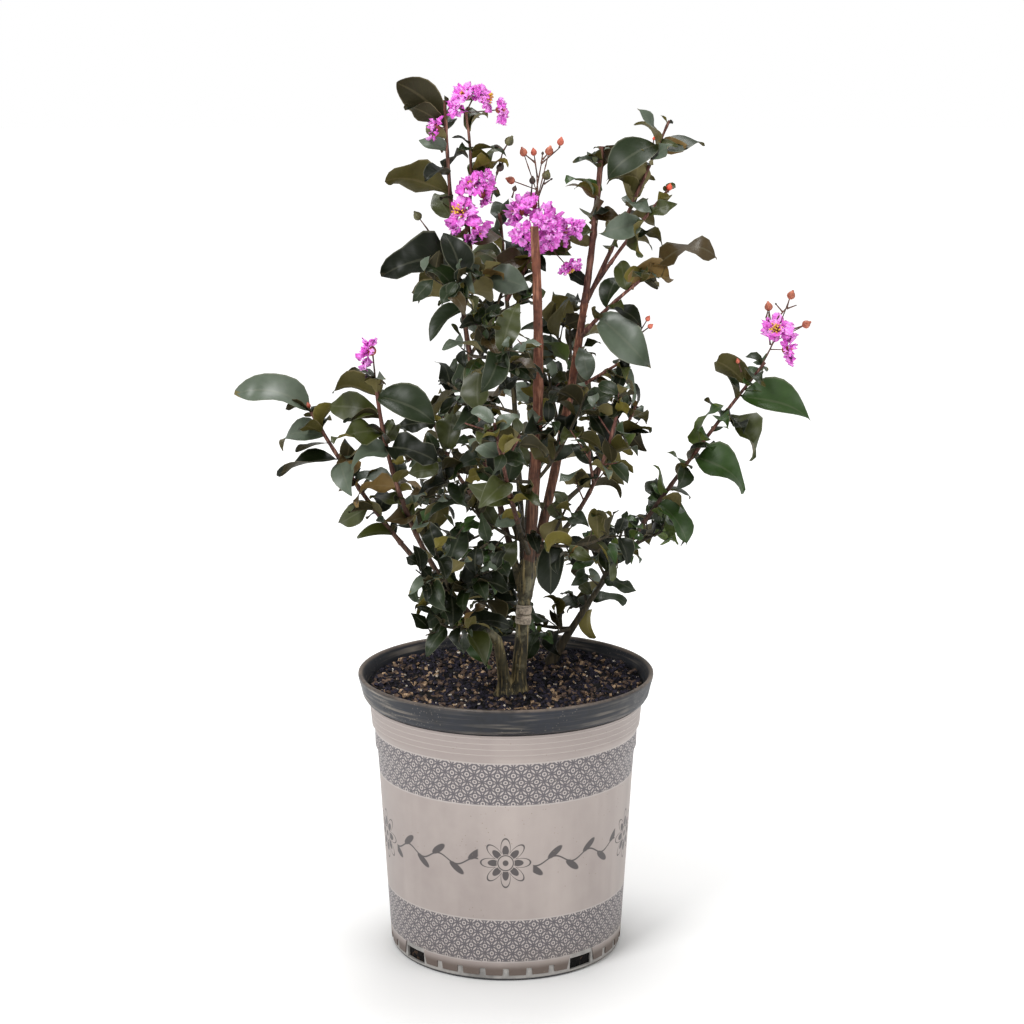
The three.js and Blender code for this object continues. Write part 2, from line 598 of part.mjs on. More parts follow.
function potSolid() {
  const foot = SIDE[0][0] - sleeve.thickness - GAP;
  const floorEdge = potLining[0][0] - 0.1;
  const outline = [[0, 0], [foot - 1.6, 0], ...potSide, ...RIM, ...[...potLining].reverse()];
  outline.push([floorEdge, pot.floor], [0, pot.floor]);
  const holes = quarters.map((q) => wallCutter(drain.first + q, drain.hole, pot.floor, drain.holeTop));
  return turned(outline).subtract(join(holes));
}

function sleeveSolid() {
  const inner = inset(SIDE, sleeve.thickness).reverse();
  const cutters = quarters.flatMap((q) => [
    wallCutter(drain.first + q, drain.width, 0, drain.top),
    ...Array.from({ length: slot.perSide }, (_, i) =>
      wallCutter(slot.first + i * slot.step + q, slot.width, 0, slot.top)),
  ]);
  return turned([...SIDE, ...inner]).subtract(join(cutters));
}

function soilSolid() {
  const side = potLining;
  const low = pot.floor + GAP;
  const rimLining = RIM[RIM.length - 1];
  const outline = [[0, low], [side[0][0], low], ...side, [rimLining[0], pot.soil], [0, pot.soil]];
  return turned(outline.map(([radius, height]) => [Math.max(0, radius - GAP), height]));
}

// Stems

const stems = new Map();
for (const plan of LIMBS) {
  const foot = plan.from ? stems.get(plan.from).at(plan.at) : vector(plan.foot);
  const stem = new Stem(foot, vector(plan.tip), vector(plan.bow), plan.thick, plan.thin);
  stems.set(plan.name, stem);
}

// The stem of a mass: the leafy end of its limb, or a shoot that leaves the limb's side.
function massStem(plan) {
  if (plan.limb) return stems.get(plan.limb).beyond(LIMBS.find((p) => p.name === plan.limb).bare);
  const foot = stems.get(plan.on).at(plan.at);
  const way = toward(plan.azimuth, plan.rise);
  const sag = plan.sag * plan.reach;
  const bow = new THREE.Vector3(way.x * sag * 0.5, way.y * sag * 0.5, -sag);
  return new Stem(foot, sum(foot, way, plan.reach), bow, shoot.thick, shoot.thin);
}

const forks = LIMBS.filter((plan) => plan.at === 1);
const trunkPlans = LIMBS.filter((plan) => plan.trunk);
const boughPlans = LIMBS.filter((plan) => !plan.trunk && plan.bare > 0);

// Where on its limb a fork's arm comes clear of the trunk and of the other arms.
function parting(plan) {
  const stem = stems.get(plan.name);
  const others = [...trunkPlans, ...forks].filter((p) => p !== plan).map((p) => stems.get(p.name));
  const places = Array.from({ length: 61 }, (_, i) => i / 60);
  const isClear = (t) => others.every((other) => places.every((s) => {
    const reach = stem.radius(t) + other.radius(s) + stub.spare;
    return stem.at(t).distanceTo(other.at(s)) > reach;
  }));
  let t = stub.step;
  while (!isClear(t)) t += stub.step;
  return t;
}

// A limb that stands in the soil is made from a little below it, then cut level just above it.
const underground = { from: -0.1, width: 240, depth: 60 };

function groundSolid() {
  const { width, depth } = underground;
  const box = new THREE.BoxGeometry(width, width, depth);
  box.translate(0, 0, pot.soil + GAP - depth / 2);
  return toSolid(box);
}

function trunkSolid() {
  const parts = trunkPlans.map((plan) =>
    woodSolid(stems.get(plan.name), bark.trunkSides, { from: underground.from, flare: bark.flare }));
  const arms = forks.map((plan) =>
    woodSolid(stems.get(plan.name), bark.boughSides, { to: parting(plan) }));
  return whole(join([...parts, ...arms]).subtract(groundSolid()));
}

function boughSolid(plan) {
  const stem = stems.get(plan.name);
  const to = plan.bare;
  if (plan.at === 1) {
    return woodSolid(stem, bark.boughSides, { from: parting(plan) + GAP / stem.length, to });
  }
  if (plan.from) return woodSolid(stem, bark.boughSides, { to });
  const rooted = woodSolid(stem, bark.boughSides, { from: underground.from, to, flare: bark.flare });
  return rooted.subtract(groundSolid());
}

// A bough with the gap that later pieces keep to it, a little less than their own at its end.
function boughRoom(plan) {
  const stem = stems.get(plan.name);
  const from = plan.at === 1 ? parting(plan) : 0;
  const to = plan.bare + stub.end / stem.length;
  const flare = plan.from ? 0 : bark.flare;
  return woodSolid(stem, bark.boughSides, { from, to, extra: stub.side, flare });
}

function tapeSolid() {
  const stem = stems.get("main");
  const { from, to, thickness } = tape;
  const outer = woodSolid(stem, bark.trunkSides, { from, to, extra: GAP + thickness });
  return outer.subtract(woodSolid(stem, bark.trunkSides, { extra: GAP }));
}

// Flowers

// The panicles of a mass: each has an axis, and stalks along it that end in a flower or a pod.
// A flower that sits on the axis has no stalk.
function panicles(plan, stem) {
  const stalks = [];
  const heads = [];
  const straight = (foot, way, length, thick) =>
    new Stem(foot, sum(foot, way, length), new THREE.Vector3(), thick, thick);
  for (const panicle of plan.panicles ?? []) {
    const [at, azimuth, rise, length] = panicle.axis;
    const axis = straight(stem.at(at), toward(azimuth, rise), length, flower.axis);
    stalks.push(axis);
    for (const [place, side, lift, reach, radius] of panicle.heads) {
      const way = toward(side, lift);
      const stalk = straight(axis.at(place), way, reach, flower.stalk);
      if (reach > flower.flat * radius) stalks.push(stalk);
      heads.push({ point: stalk.tip, way, radius });
    }
  }
  return { stalks, heads };
}

// Masses

const wood = new Marks(cell.wood);
const used = new Marks(cell.used);

const masses = MASSES.map((plan) => {
  const stem = massStem(plan);
  return { plan, stem, name: plan.name, ...panicles(plan, stem) };
});

for (const plan of LIMBS) {
  const stem = stems.get(plan.name);
  for (const t of stemMarks(stem)) {
    if (t <= plan.bare) wood.add(stem.at(t), stem.radius(t), plan.name);
  }
}
for (const { stem, name, heads, stalks } of masses) {
  for (const t of stemMarks(stem)) wood.add(stem.at(t), stem.radius(t), name);
  for (const head of heads) wood.add(head.point, head.radius, name);
  for (const stalk of stalks) {
    for (const t of stemMarks(stalk)) wood.add(stalk.at(t), stalk.radius(t), name);
  }
}

function isFree(point, owner) {
  if (point.z < pot.soil + clear.soil) return false;
  return !wood.blocks(point, clear.wood, owner) && !used.blocks(point, clear.leaf, owner);
}

function massSolid({ plan, stem, name, heads, stalks }) {
  const hasRoom = (side) => stemMarks(side, clear.from).every((t) => isFree(side.at(t), name));
  const grown = grow(plan, stem, hasRoom);
  const leaves = grown.leaves.filter((leaf) => leafMarks(leaf).every((point) => isFree(point, name)));
  for (const leaf of leaves) {
    for (const point of leafMarks(leaf)) used.add(point, 0, name);
  }
  for (const side of grown.shoots) {
    for (const t of stemMarks(side)) used.add(side.at(t), 0, name);
  }
  const start = plan.limb ? GAP / stem.length : 0;
  const shoots = grown.shoots.map((side) => {
    const from = side === stem ? start : 0;
    return woodSolid(side, bark.twigSides, { from, to: 1 + shoot.spare / side.length });
  });
  const flowerStalks = stalks.map((stalk) => woodSolid(stalk, bark.twigSides));
  return join([...shoots, ...flowerStalks, ...leaves.map(leafSolid), ...heads.map(headSolid)]);
}

// The plant in its pot

const crapeMyrtle = new THREE.Group();
crapeMyrtle.name = "crape_myrtle";
crapeMyrtle.add(toMesh("pot", potSolid(), materials.pot));
crapeMyrtle.add(toMesh("pot_sleeve", sleeveSolid(), materials.sleeve));
crapeMyrtle.add(toMesh("potting_mix", soilSolid(), materials.soil));
crapeMyrtle.add(toMesh("stem_tape", tapeSolid(), materials.tape));
crapeMyrtle.add(toMesh("trunk", trunkSolid(), materials.bark));

// Every piece of wood with the clearance round it that later pieces are cut back to.
const swollen = trunkPlans.map((plan) =>
  woodSolid(stems.get(plan.name), bark.trunkSides, { extra: GAP, flare: bark.flare }));
swollen.push(...forks.map((plan) =>
  woodSolid(stems.get(plan.name), bark.boughSides, { to: parting(plan), extra: GAP })));

for (const plan of boughPlans) {
  const bough = whole(boughSolid(plan).subtract(join(swollen)));
  crapeMyrtle.add(toMesh(`${plan.name}_bough`, bough, materials.bark));
  swollen.push(boughRoom(plan));
}

// Flowers also keep clear of the stems of the other masses.
const limbRoom = join(swollen);
for (const mass of masses) {
  const room = [limbRoom];
  if (mass.heads.length > 0) {
    const others = masses.filter((other) => other !== mass);
    room.push(...others.map(({ stem }) => woodSolid(stem, bark.twigSides, { extra: stub.room })));
  }
  const foliage = whole(massSolid(mass).subtract(join(room)));
  crapeMyrtle.add(toMesh(`${mass.name}_leaves`, foliage, materials.foliage));
}

export default crapeMyrtle;
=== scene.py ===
# A crape myrtle in a printed nursery pot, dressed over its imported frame.
# Plans are in millimetres and degrees, as a grower would note them. Meshes are in metres.

import math
import bpy
import numpy as np
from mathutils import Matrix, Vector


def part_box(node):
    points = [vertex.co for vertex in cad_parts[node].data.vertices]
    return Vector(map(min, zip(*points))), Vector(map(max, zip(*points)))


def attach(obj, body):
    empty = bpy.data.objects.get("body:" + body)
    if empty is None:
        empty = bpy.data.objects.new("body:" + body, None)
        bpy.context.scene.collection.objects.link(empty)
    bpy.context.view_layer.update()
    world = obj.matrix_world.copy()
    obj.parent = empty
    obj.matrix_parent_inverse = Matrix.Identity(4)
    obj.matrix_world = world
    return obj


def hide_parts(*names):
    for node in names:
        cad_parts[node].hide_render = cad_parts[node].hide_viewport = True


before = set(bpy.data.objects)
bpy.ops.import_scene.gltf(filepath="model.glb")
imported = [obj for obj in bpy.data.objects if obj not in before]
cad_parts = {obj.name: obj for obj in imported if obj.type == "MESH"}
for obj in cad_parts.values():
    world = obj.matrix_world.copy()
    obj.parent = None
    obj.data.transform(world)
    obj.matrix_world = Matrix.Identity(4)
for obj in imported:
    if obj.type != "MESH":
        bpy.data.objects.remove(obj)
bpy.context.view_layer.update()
mm = 0.001
up = np.array([0.0, 0.0, 1.0])


def put(tree, kind, values=None, **settings):
    # one node; values are sockets to link from, or plain defaults, by input name or number
    node = tree.nodes.new(kind)
    for key, value in settings.items():
        setattr(node, key, value)
    for key, value in (values or {}).items():
        if isinstance(value, bpy.types.NodeSocket):
            tree.links.new(value, node.inputs[key])
        else:
            node.inputs[key].default_value = value
    return node


def calc(operation, first, second=0.0, third=0.0, clamp=False):
    # one step of arithmetic, in the tree of the sockets that it takes
    values = {0: first, 1: second, 2: third}
    tree = next(value.id_data for value in values.values() if isinstance(value, bpy.types.NodeSocket))
    return put(tree, "ShaderNodeMath", values, operation=operation, use_clamp=clamp).outputs[0]


def rangeMap(value, low, high, toLow=0.0, toHigh=1.0, smooth=False):
    kind = "SMOOTHSTEP" if smooth else "LINEAR"
    values = {"Value": value, "From Min": low, "From Max": high, "To Min": toLow, "To Max": toHigh}
    return put(value.id_data, "ShaderNodeMapRange", values, interpolation_type=kind).outputs[0]


def times(first, second):
    return calc("MULTIPLY", first, second)


def plus(first, second):
    return calc("ADD", first, second)


def minus(first, second):
    return calc("SUBTRACT", first, second)


def most(first, *others):
    for other in others:
        first = calc("MAXIMUM", first, other)
    return first


def noise(spot, scale, detail=2.0, stretch=None):
    if stretch:
        spot = put(spot.id_data, "ShaderNodeMapping", {"Vector": spot, "Scale": stretch}).outputs[0]
    values = {"Vector": spot, "Scale": scale, "Detail": detail}
    return put(spot.id_data, "ShaderNodeTexNoise", values).outputs[0]


def blendColour(factor, first, second):
    values = {0: factor, 6: first, 7: second}
    return put(factor.id_data, "ShaderNodeMix", values, data_type="RGBA").outputs[2]


def paint(hexCode, factor=1.0):
    # a linear colour from its usual hex code
    parts = [int(hexCode[i:i + 2], 16) / 255 for i in (1, 3, 5)]
    linear = [p / 12.92 if p <= 0.04045 else ((p + 0.055) / 1.055) ** 2.4 for p in parts]
    return tuple(min(1, p * factor) for p in linear) + (1.0,)


def newGroup(name, kind, inputs, outputs):
    # an input is a number, or a kind of socket that has no value of its own
    tree = bpy.data.node_groups.new(name, kind)
    numbers = {float: "Float", int: "Int"}
    for label, value in inputs.items():
        word = numbers.get(type(value), value)
        socket = tree.interface.new_socket(label, in_out="INPUT", socket_type=f"NodeSocket{word}")
        if type(value) in numbers:
            socket.default_value = value
    for label, word in outputs.items():
        tree.interface.new_socket(label, in_out="OUTPUT", socket_type=f"NodeSocket{word}")
    return tree, tree.nodes.new("NodeGroupInput").outputs, tree.nodes.new("NodeGroupOutput").inputs


def shaderGroup(name, inputs, outputs):
    inputs = {"Vector": "Vector", **inputs}
    return newGroup(name, "ShaderNodeTree", inputs, {label: "Float" for label in outputs})


def geometryGroup(name, inputs):
    inputs = {"Geometry": "Geometry", **inputs}
    return newGroup(name, "GeometryNodeTree", inputs, {"Geometry": "Geometry"})


def useGroup(tree, group, values):
    return put(tree, "ShaderNodeGroup", values, node_tree=group).outputs


def newMaterial(name, roughness, specular=0.5):
    material = bpy.data.materials.new(name)
    material.use_nodes = True
    shader = material.node_tree.nodes["Principled BSDF"]
    shader.inputs["Roughness"].default_value = roughness
    shader.inputs["Specular IOR Level"].default_value = specular
    return material, material.node_tree, shader


class Finish:
    # a material in the making: a clouded ground, then layers over it
    def __init__(self, name, rough, gloss, scale, contrast, fine=6.0):
        self.material, self.tree, self.shader = newMaterial(name, rough, gloss)
        self.spot = self.tree.nodes.new("ShaderNodeTexCoord").outputs["Object"]
        self.cloud = useGroup(self.tree, mottle, {
            "Vector": self.spot, "Scale": scale, "Fine": fine, "Contrast": contrast})

    def ground(self, deep, light):
        self.colour = blendColour(self.cloud["Value"], paint(deep), paint(light))

    def layer(self, hexCode, mask, share=None):
        mask = times(mask, share) if share else mask
        self.colour = blendColour(mask, self.colour, paint(hexCode))

    def noise(self, scale, detail=2.0, stretch=None):
        return noise(self.spot, scale, detail, stretch)

    def specks(self, scale, size, amount, patches=30.0):
        return useGroup(self.tree, specks, {
            "Vector": self.spot, "Scale": scale, "Size": size, "Patches": patches, "Amount": amount})[0]

    def clouds(self, low, high, toLow=0, toHigh=1):
        return rangeMap(self.cloud["Value"], low, high, toLow, toHigh)

    def axis(self, name):
        return put(self.tree, "ShaderNodeSeparateXYZ", {0: self.spot}).outputs[name]

    def wire(self, height, strength, distance, rough=None):
        link = self.tree.links.new
        link(self.colour, self.shader.inputs["Base Color"])
        if rough is not None:
            link(rough, self.shader.inputs["Roughness"])
        values = {"Height": height, "Strength": strength, "Distance": distance}
        link(put(self.tree, "ShaderNodeBump", values).outputs[0], self.shader.inputs["Normal"])
        return self.material


def newObject(name, data):
    obj = bpy.data.objects.new(name, data)
    bpy.context.scene.collection.objects.link(obj)
    return obj


def meshFrom(name, points, faces, materials, slots=None, smooth=True):
    mesh = bpy.data.meshes.new(name)
    mesh.from_pydata([tuple(p) for p in points], [], faces)
    for material in materials:
        mesh.materials.append(material)
    if slots is not None:
        mesh.polygons.foreach_set("material_index", slots)
    mesh.polygons.foreach_set("use_smooth", [smooth] * len(mesh.polygons))
    mesh.update()
    return mesh


def solid(name, points, faces, materials, smooth=True):
    return newObject(name, meshFrom(name, points, faces, materials, smooth=smooth))


def plainCopy(obj, name):
    # the evaluated object as a plain mesh, with its modifiers gone
    graph = bpy.context.evaluated_depsgraph_get()
    mesh = bpy.data.meshes.new_from_object(obj.evaluated_get(graph), depsgraph=graph)
    mesh.name = name
    made = newObject(name, mesh)
    bpy.data.objects.remove(obj)
    return made


def modify(obj, kind, **settings):
    modifier = obj.modifiers.new(kind.lower(), kind)
    for key, value in settings.items():
        setattr(modifier, key, value)
    return modifier


def addTree(obj, group, values):
    # a Geometry Nodes modifier with its inputs set by socket identifier
    modifier = modify(obj, "NODES", node_group=group)
    sockets = {item.name: item.identifier for item in group.interface.items_tree
               if item.item_type == "SOCKET" and item.in_out == "INPUT"}
    for key, value in values.items():
        modifier[sockets[key]] = value


def dress(piece, slot, *nodes):
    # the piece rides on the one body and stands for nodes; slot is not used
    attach(piece, "root")
    if nodes:
        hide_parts(*nodes)
    print("piece", piece.name, len(piece.data.polygons), "faces")
    return piece


view = {"place": (0.005, -1.70, 0.70), "tilt": 11.3, "lens": 75.94, "sensor": 36.0}


def addCamera():
    data = bpy.data.cameras.new("camera")
    data.lens = view["lens"]
    data.sensor_width = view["sensor"]
    camera = newObject("camera", data)
    camera.location = view["place"]
    camera.rotation_euler = (math.radians(90 - view["tilt"]), 0, 0)
    bpy.context.scene.camera = camera


studio = {
    "sky": 0.5, "backdrop": 1.0, "floor": "#f1f1f0", "shade": "#eae9e8", "glow": (0.0, 0.66),
    "fade": (0.1, 2.2), "reach": 30, "drop": -0.0002,
    "lamps": [  # place, size, watts
        ((-1.2, -1.5, 1.9), 0.9, 38),
        ((1.6, -1.3, 1.0), 1.2, 11),
        ((0.1, 0.5, 2.3), 0.9, 24),
    ],
    "aim": (0, 0, 0.40),
}


def addStudio():
    scene = bpy.context.scene
    scene.view_settings.view_transform = "Standard"
    world = bpy.data.worlds.new("studioSky")
    world.use_nodes = True
    sky = world.node_tree.nodes["Background"]
    seen = world.node_tree.nodes.new("ShaderNodeLightPath").outputs["Is Camera Ray"]
    strength = rangeMap(seen, 0, 1, studio["sky"], studio["backdrop"])
    world.node_tree.links.new(strength, sky.inputs["Strength"])
    sky.inputs["Color"].default_value = (1, 1, 1, 1)
    scene.world = world
    aim = np.array(studio["aim"])
    for i, (spot, size, watts) in enumerate(studio["lamps"]):
        data = bpy.data.lights.new(f"softbox{i}", "AREA")
        data.size = size
        data.energy = watts
        lamp = newObject(f"softbox{i}", data)
        lamp.location = spot
        way = aim - np.array(spot)
        lamp.rotation_euler = (math.atan2(math.hypot(way[0], way[1]), -way[2]), 0,
                               math.atan2(way[1], way[0]) - math.pi / 2)
    material, tree, shader = newMaterial("floorPaint", 0.7)
    spot = tree.nodes.new("ShaderNodeTexCoord").outputs["Object"]
    grain = rangeMap(noise(spot, 3.0), 0.3, 0.7, 0, 0.3)
    tint = blendColour(grain, paint(studio["floor"]), paint(studio["shade"]))
    tree.links.new(tint, shader.inputs["Base Color"])
    span = put(tree, "ShaderNodeVectorMath", {0: spot}, operation="LENGTH").outputs["Value"]
    share = calc("POWER", rangeMap(span, *studio["fade"]), 0.5)
    shader.inputs["Emission Color"].default_value = (1, 1, 1, 1)
    tree.links.new(rangeMap(share, 0, 1, *studio["glow"]), shader.inputs["Emission Strength"])
    reach = studio["reach"]
    corners = [(-reach, -reach, 0), (reach, -reach, 0), (reach, reach, 0), (-reach, reach, 0)]
    floor = solid("floor", corners, [(0, 1, 2, 3)], [material])
    floor.location.z = studio["drop"]


addCamera()
addStudio()
print("camera and light are up")


# Limbs are quadratic curves. Each has a foot, or a limb and a place along it to start from, then its
# tip, a bow that pushes its middle sideways, both thicknesses, and how far along it is bare.
limbFields = ("foot", "tip", "bow", "thick", "thin", "bare")
limbRows = {
    "main": ((9, -30, 220), (15, -25, 296), (1, 0, 0), 13, 10, 1),
    "left": ((-1, -33, 220), (-6, -36, 263), (1, -1, 2), 11, 7.5, 1),
    "centre": (("main", 1), (22, -30, 590), (13, -4, 0), 9.5, 6.5, 1),
    "right_mid": (("main", 1), (76, 30, 649), (17, 24, -6), 8.5, 4.5, 0.66),
    "left_mid": (("main", 1), (-47, 0, 685), (-25, 30, -8), 5.5, 2.6, 0.68),
    "mid_back": (("main", 1), (-5, 52, 595), (5, 60, -22), 5.5, 3, 0.82),
    "left_low": (("left", 1), (-150, -50, 449), (-12, -25, -12), 5, 2.8, 0.48),
    "left_front": (("left", 1), (-99, -70, 478), (-33, -38, -26), 5, 3, 0.42),
    "right_low": ((36, 52, 220), (210, 40, 476), (-9, -4, 3), 5.2, 2.4, 0.42),
    "right_front": (("right_mid", 0.1), (88, -64, 463), (15, -38, -23), 4.5, 2.2, 0.4),
    "back": (("mid_back", 0.1), (28, 128, 470), (0, 22, -18), 4.6, 2.2, 0.35),
    "front": (("centre", 0.12), (-8, -150, 456), (0, -20, -14), 4.6, 2.2, 0.35),
    "back_left": (("left_mid", 0.14), (-63, 110, 422), (-14, 16, -14), 4.4, 2.2, 0.35),
    "back_right": (("right_mid", 0.18), (110, 108, 431), (14, 16, -14), 4.6, 2.2, 0.35),
    "right_top": (("right_mid", 0.65), (129, 30, 669), (2, 5, -1), 4, 2, 0.3),
    "right_upper": (("right_top", 0.1), (127, 5, 616), (-3, -5, 2), 3.4, 2.2, 0.25),
    "right_outer": (("right_mid", 0.58), (117, 0, 554), (-4, -3, 4), 4, 2.2, 0.1),
    "mid_high": (("mid_back", 0.79), (28, 8, 580), (4, 4, 2), 3.4, 2.2, 0),
    "left_high": (("left_mid", 0.67), (-31, -4, 678), (14, -3, 0), 3.2, 2, 0),
    "left_bloom": (("left_mid", 0.59), (-29, -14, 592), (8, -6, -2), 3.2, 2, 0),
    "mid_right": (("right_mid", 0.46), (98, -4, 486), (-1, -5, 0), 3.2, 2, 0),
}

# A mass is the leafy end of the limb of its name, or a shoot from a limb's side. Its leaves have a
# length, a gap and a roll; then come its seed and, in dense masses, side twigs, their length, and
# whether leaves close its end.
leafFields = ("leaf", "gap", "roll", "seed", "twigs", "side", "end")
endRows = {
    "left_low": (34, 42, 0.7, 103), "left_front": (32, 36, 0.4, 181), "left_mid": (42, 42, 2.9, 749),
    "right_mid": (34, 44, 1.9, 335), "right_top": (36, 44, 0.5, 121), "right_upper": (30, 34, 0.8, 743),
    "right_outer": (34, 38, 2.22, 514), "right_low": (36, 46, 2.2, 116), "left_high": (40, 36, 1.4, 165),
    "left_bloom": (34, 30, 1, 890), "mid_high": (36, 32, 1.5, 558), "mid_back": (38, 30, 2.6, 970),
    "mid_right": (32, 30, 1.1, 883), "right_front": (36, 28, 0.6, 727, 2, 34, True),
    "back": (40, 32, 2.92, 99, 2, 44, True), "front": (36, 28, 0.4, 99, 2, 38, True),
    "back_left": (40, 32, 3, 314, 2, 44, True), "back_right": (40, 32, 1.82, 153, 2, 44, True),
}
shootFields = ("source", "at", "azimuth", "rise", "reach", "sag")
shootRows = {
    "mid_front": ("left_mid", 0.5, 20, 10, 90, 0.08, 48, 28, 1.9, 938, 2, 34),
    "mid_front_right": ("centre", 0.32, 70, 60, 85, 0.14, 48, 28, 0.9, 72, 2, 34),
    "mid_rear_right": ("left_mid", 0.5, 120, 60, 65, 0.14, 48, 32, 2.6, 793, 2, 42),
    "mid_rear": ("right_mid", 0.48, 180, 30, 85, 0.08, 48, 28, 2.1, 179, 1, 42),
    "mid_rear_left": ("right_mid", 0.36, 195, 50, 60, 0.08, 44, 28, 0.3, 523, 2, 42),
    "mid_left": ("mid_back", 0.5, 250, 20, 65, 0.08, 44, 28, 3.1, 457, 2, 34),
    "mid_front_left": ("centre", 0.32, 270, 10, 70, 0.08, 48, 32, 1.8, 117, 2, 42),
    "mid_inner": ("left_mid", 0.62, 0, 20, 70, 0.14, 44, 28, 2.8, 731, 2, 34),
    "low_front": ("left_front", 0.18, 345, 40, 100, 0.14, 38, 24, 2.9, 847, 2, 40, True),
    "low_front_right": ("front", 0.2, 40, 10, 100, 0.14, 38, 27, 1.7, 347, 2, 34, True),
    "low_right": ("left_low", 0.34, 65, 30, 60, 0.08, 38, 24, 1.7, 614, 2, 34, True),
    "low_rear_right": ("left_low", 0.2, 145, 10, 55, 0.08, 38, 24, 1.9, 463, 2, 40, True),
    "low_rear": ("right_low", 0.18, 170, 0, 55, 0.14, 38, 27, 1.6, 748, 2, 40, True),
    "low_rear_left": ("back_left", 0.26, 225, 0, 80, 0.08, 38, 27, 3, 967, 2, 40, True),
    "low_left": ("right_low", 0.12, 245, 10, 90, 0.14, 38, 24, 2.1, 499, 2, 34, True),
    "low_front_left": ("right_mid", 0.12, 300, 30, 70, 0.14, 35, 24, 1.9, 200, 2, 40, True),
    "low_inner": ("left_front", 0.12, 335, 10, 60, 0.14, 35, 27, 0.6, 363, 2, 40, True),
    "side_front": ("right_low", 0.24, 35, 60, 80, 0.08, 31, 20, 1.2, 114, 2, 32),
    "side_rear": ("right_low", 0.38, 135, 20, 60, 0.08, 37, 24, 0.5, 598, 2, 26),
    "side_inner": ("right_low", 0.12, 310, 10, 70, 0.14, 34, 20, 3, 578, 1, 26),
}

# Single leaves drawn before the rest, and late ones after it: place, azimuth, rise, length.
leaders = {
    "left_low": ((1, -80, 15, 62), (0.82, -105, -5, 44), (0.66, -75, -10, 51), (0.65, 50, 20, 35),
        (0.66, 20, -40, 37), (0.3, -105, -30, 34), (0.08, -65, 0, 31)),
    "left_front": ((1, -105, 10, 24), (0.91, -70, 15, 42), (0.83, -100, 5, 45), (0.73, -65, -5, 43),
        (0.91, 75, -20, 53), (0.65, 65, -10, 50), (0.63, -60, -10, 35), (0.42, -65, -5, 40),
        (0.31, -110, 10, 30)),
    "left_mid": ((0.88, -75, 35, 53), (0.44, -75, 15, 57), (0.5, 70, 25, 51), (0.03, -75, -10, 63),
        (0.03, -110, -40, 48)),
    "right_mid": ((0.66, -65, 35, 26), (0.46, -105, -10, 28), (0.52, 60, 15, 25), (0.4, -60, -25, 48),
        (0.34, 50, -20, 24)),
    "right_top": ((0.82, -75, -30, 54), (0.77, 100, 15, 42), (0.82, -70, 60, 34), (0.38, 35, 75, 44),
        (0.02, 50, 40, 36)),
    "right_upper": ((0.94, -125, -50, 30), (0.66, 65, 20, 26), (0.6, -10, -60, 34), (0.38, 110, -5, 29)),
    "right_outer": ((1, 80, 20, 56), (0.66, 65, 15, 43), (0.62, 45, 55, 28), (0.21, 60, -40, 61),
        (0.06, 50, -30, 45)),
    "right_low": ((0.87, -70, 35, 39), (0.98, -120, 25, 18), (0.81, 75, -10, 63), (0.69, 60, -40, 47),
        (0.51, 50, 65, 45), (0.47, 70, -25, 56), (0.41, -20, -40, 28), (0.24, -15, 65, 32),
        (0.2, 55, -45, 44), (0.19, 115, -60, 38)),
    "left_high": ((0.69, -135, 20, 22),),
    "left_bloom": ((0.04, -60, -35, 40), (0.6, 60, 10, 27)),
    "mid_right": ((0.98, 75, 0, 46), (0.96, -50, -70, 32), (0.6, 65, -35, 36)),
}
late = {
    "left_low": ((0.5, 80, 0, 38), (0.2, -85, 25, 30)),
    "left_mid": ((0.7, -80, 20, 24),),
    "right_mid": ((0.7, -60, 25, 34),),
    "right_upper": ((0.55, -55, -10, 42),),
    "left_high": ((0.62, 65, 15, 34), (0.78, -60, 35, 16), (0.74, 80, 5, 30)),
    "left_bloom": ((0.25, 80, 3, 50),),
    "mid_high": ((0.6, -75, -15, 36), (0.3, 45, 35, 58)),
    "low_front": ((0.5, 85, 8, 50), (0.25, -60, -30, 38)),
    "low_left": ((0.42, 10, -25, 28),),
    "low_inner": ((0.2, -20, -70, 26), (0.02, 30, -65, 42), (0.3, 75, 10, 38), (0.15, 55, 0, 34)),
}

# A panicle has an axis, written the same way, and heads along it: place, azimuth, rise, reach, radius.
panicles = {
    "left_front": ((0.97, -15, 75, 27), ((1, -90, 25, 2, 12),)),
    "left_mid": ((0.84, -45, -5, 8), ((1, -90, 10, 2, 9),)),
    "right_low": ((0.97, 80, 65, 33), ((1, -25, 20, 4, 12), (0.5, 80, 0, 14, 11),
        (0.7, -120, 80, 29, 3.6), (0.5, 80, 70, 47, 3.6), (0.7, 80, 30, 30, 3.6))),
    "left_high": ((0.98, 60, 60, 11), ((1, -55, 30, 8, 11), (1, 75, 10, 9, 11), (0, 85, 5, 27, 10))),
    "left_bloom": ((0.98, 35, 80, 25), ((1, -20, 60, 6, 12), (1, 100, -10, 10, 11), (0.3, -40, 15, 8, 13),
        (0, 60, -30, 9, 11))),
    "mid_high": ((0.98, -130, 85, 46), ((0.3, -75, 20, 19, 13), (0.6, -130, -20, 7, 12),
        (0.2, 45, 20, 8, 13), (0, 80, 15, 18, 13), (0, -50, -15, 8, 12), (0, 70, -45, 31, 9),
        (0.8, -80, 20, 23, 3.6), (0.7, -110, 70, 36, 3.6), (0.7, 110, 75, 36, 3.6))),
}

limbPlans = {name: dict(zip(limbFields, row)) for name, row in limbRows.items()}
massPlans = {name: dict(zip(leafFields, row)) for name, row in endRows.items()}
massPlans.update({name: dict(zip(shootFields + leafFields, row)) for name, row in shootRows.items()})


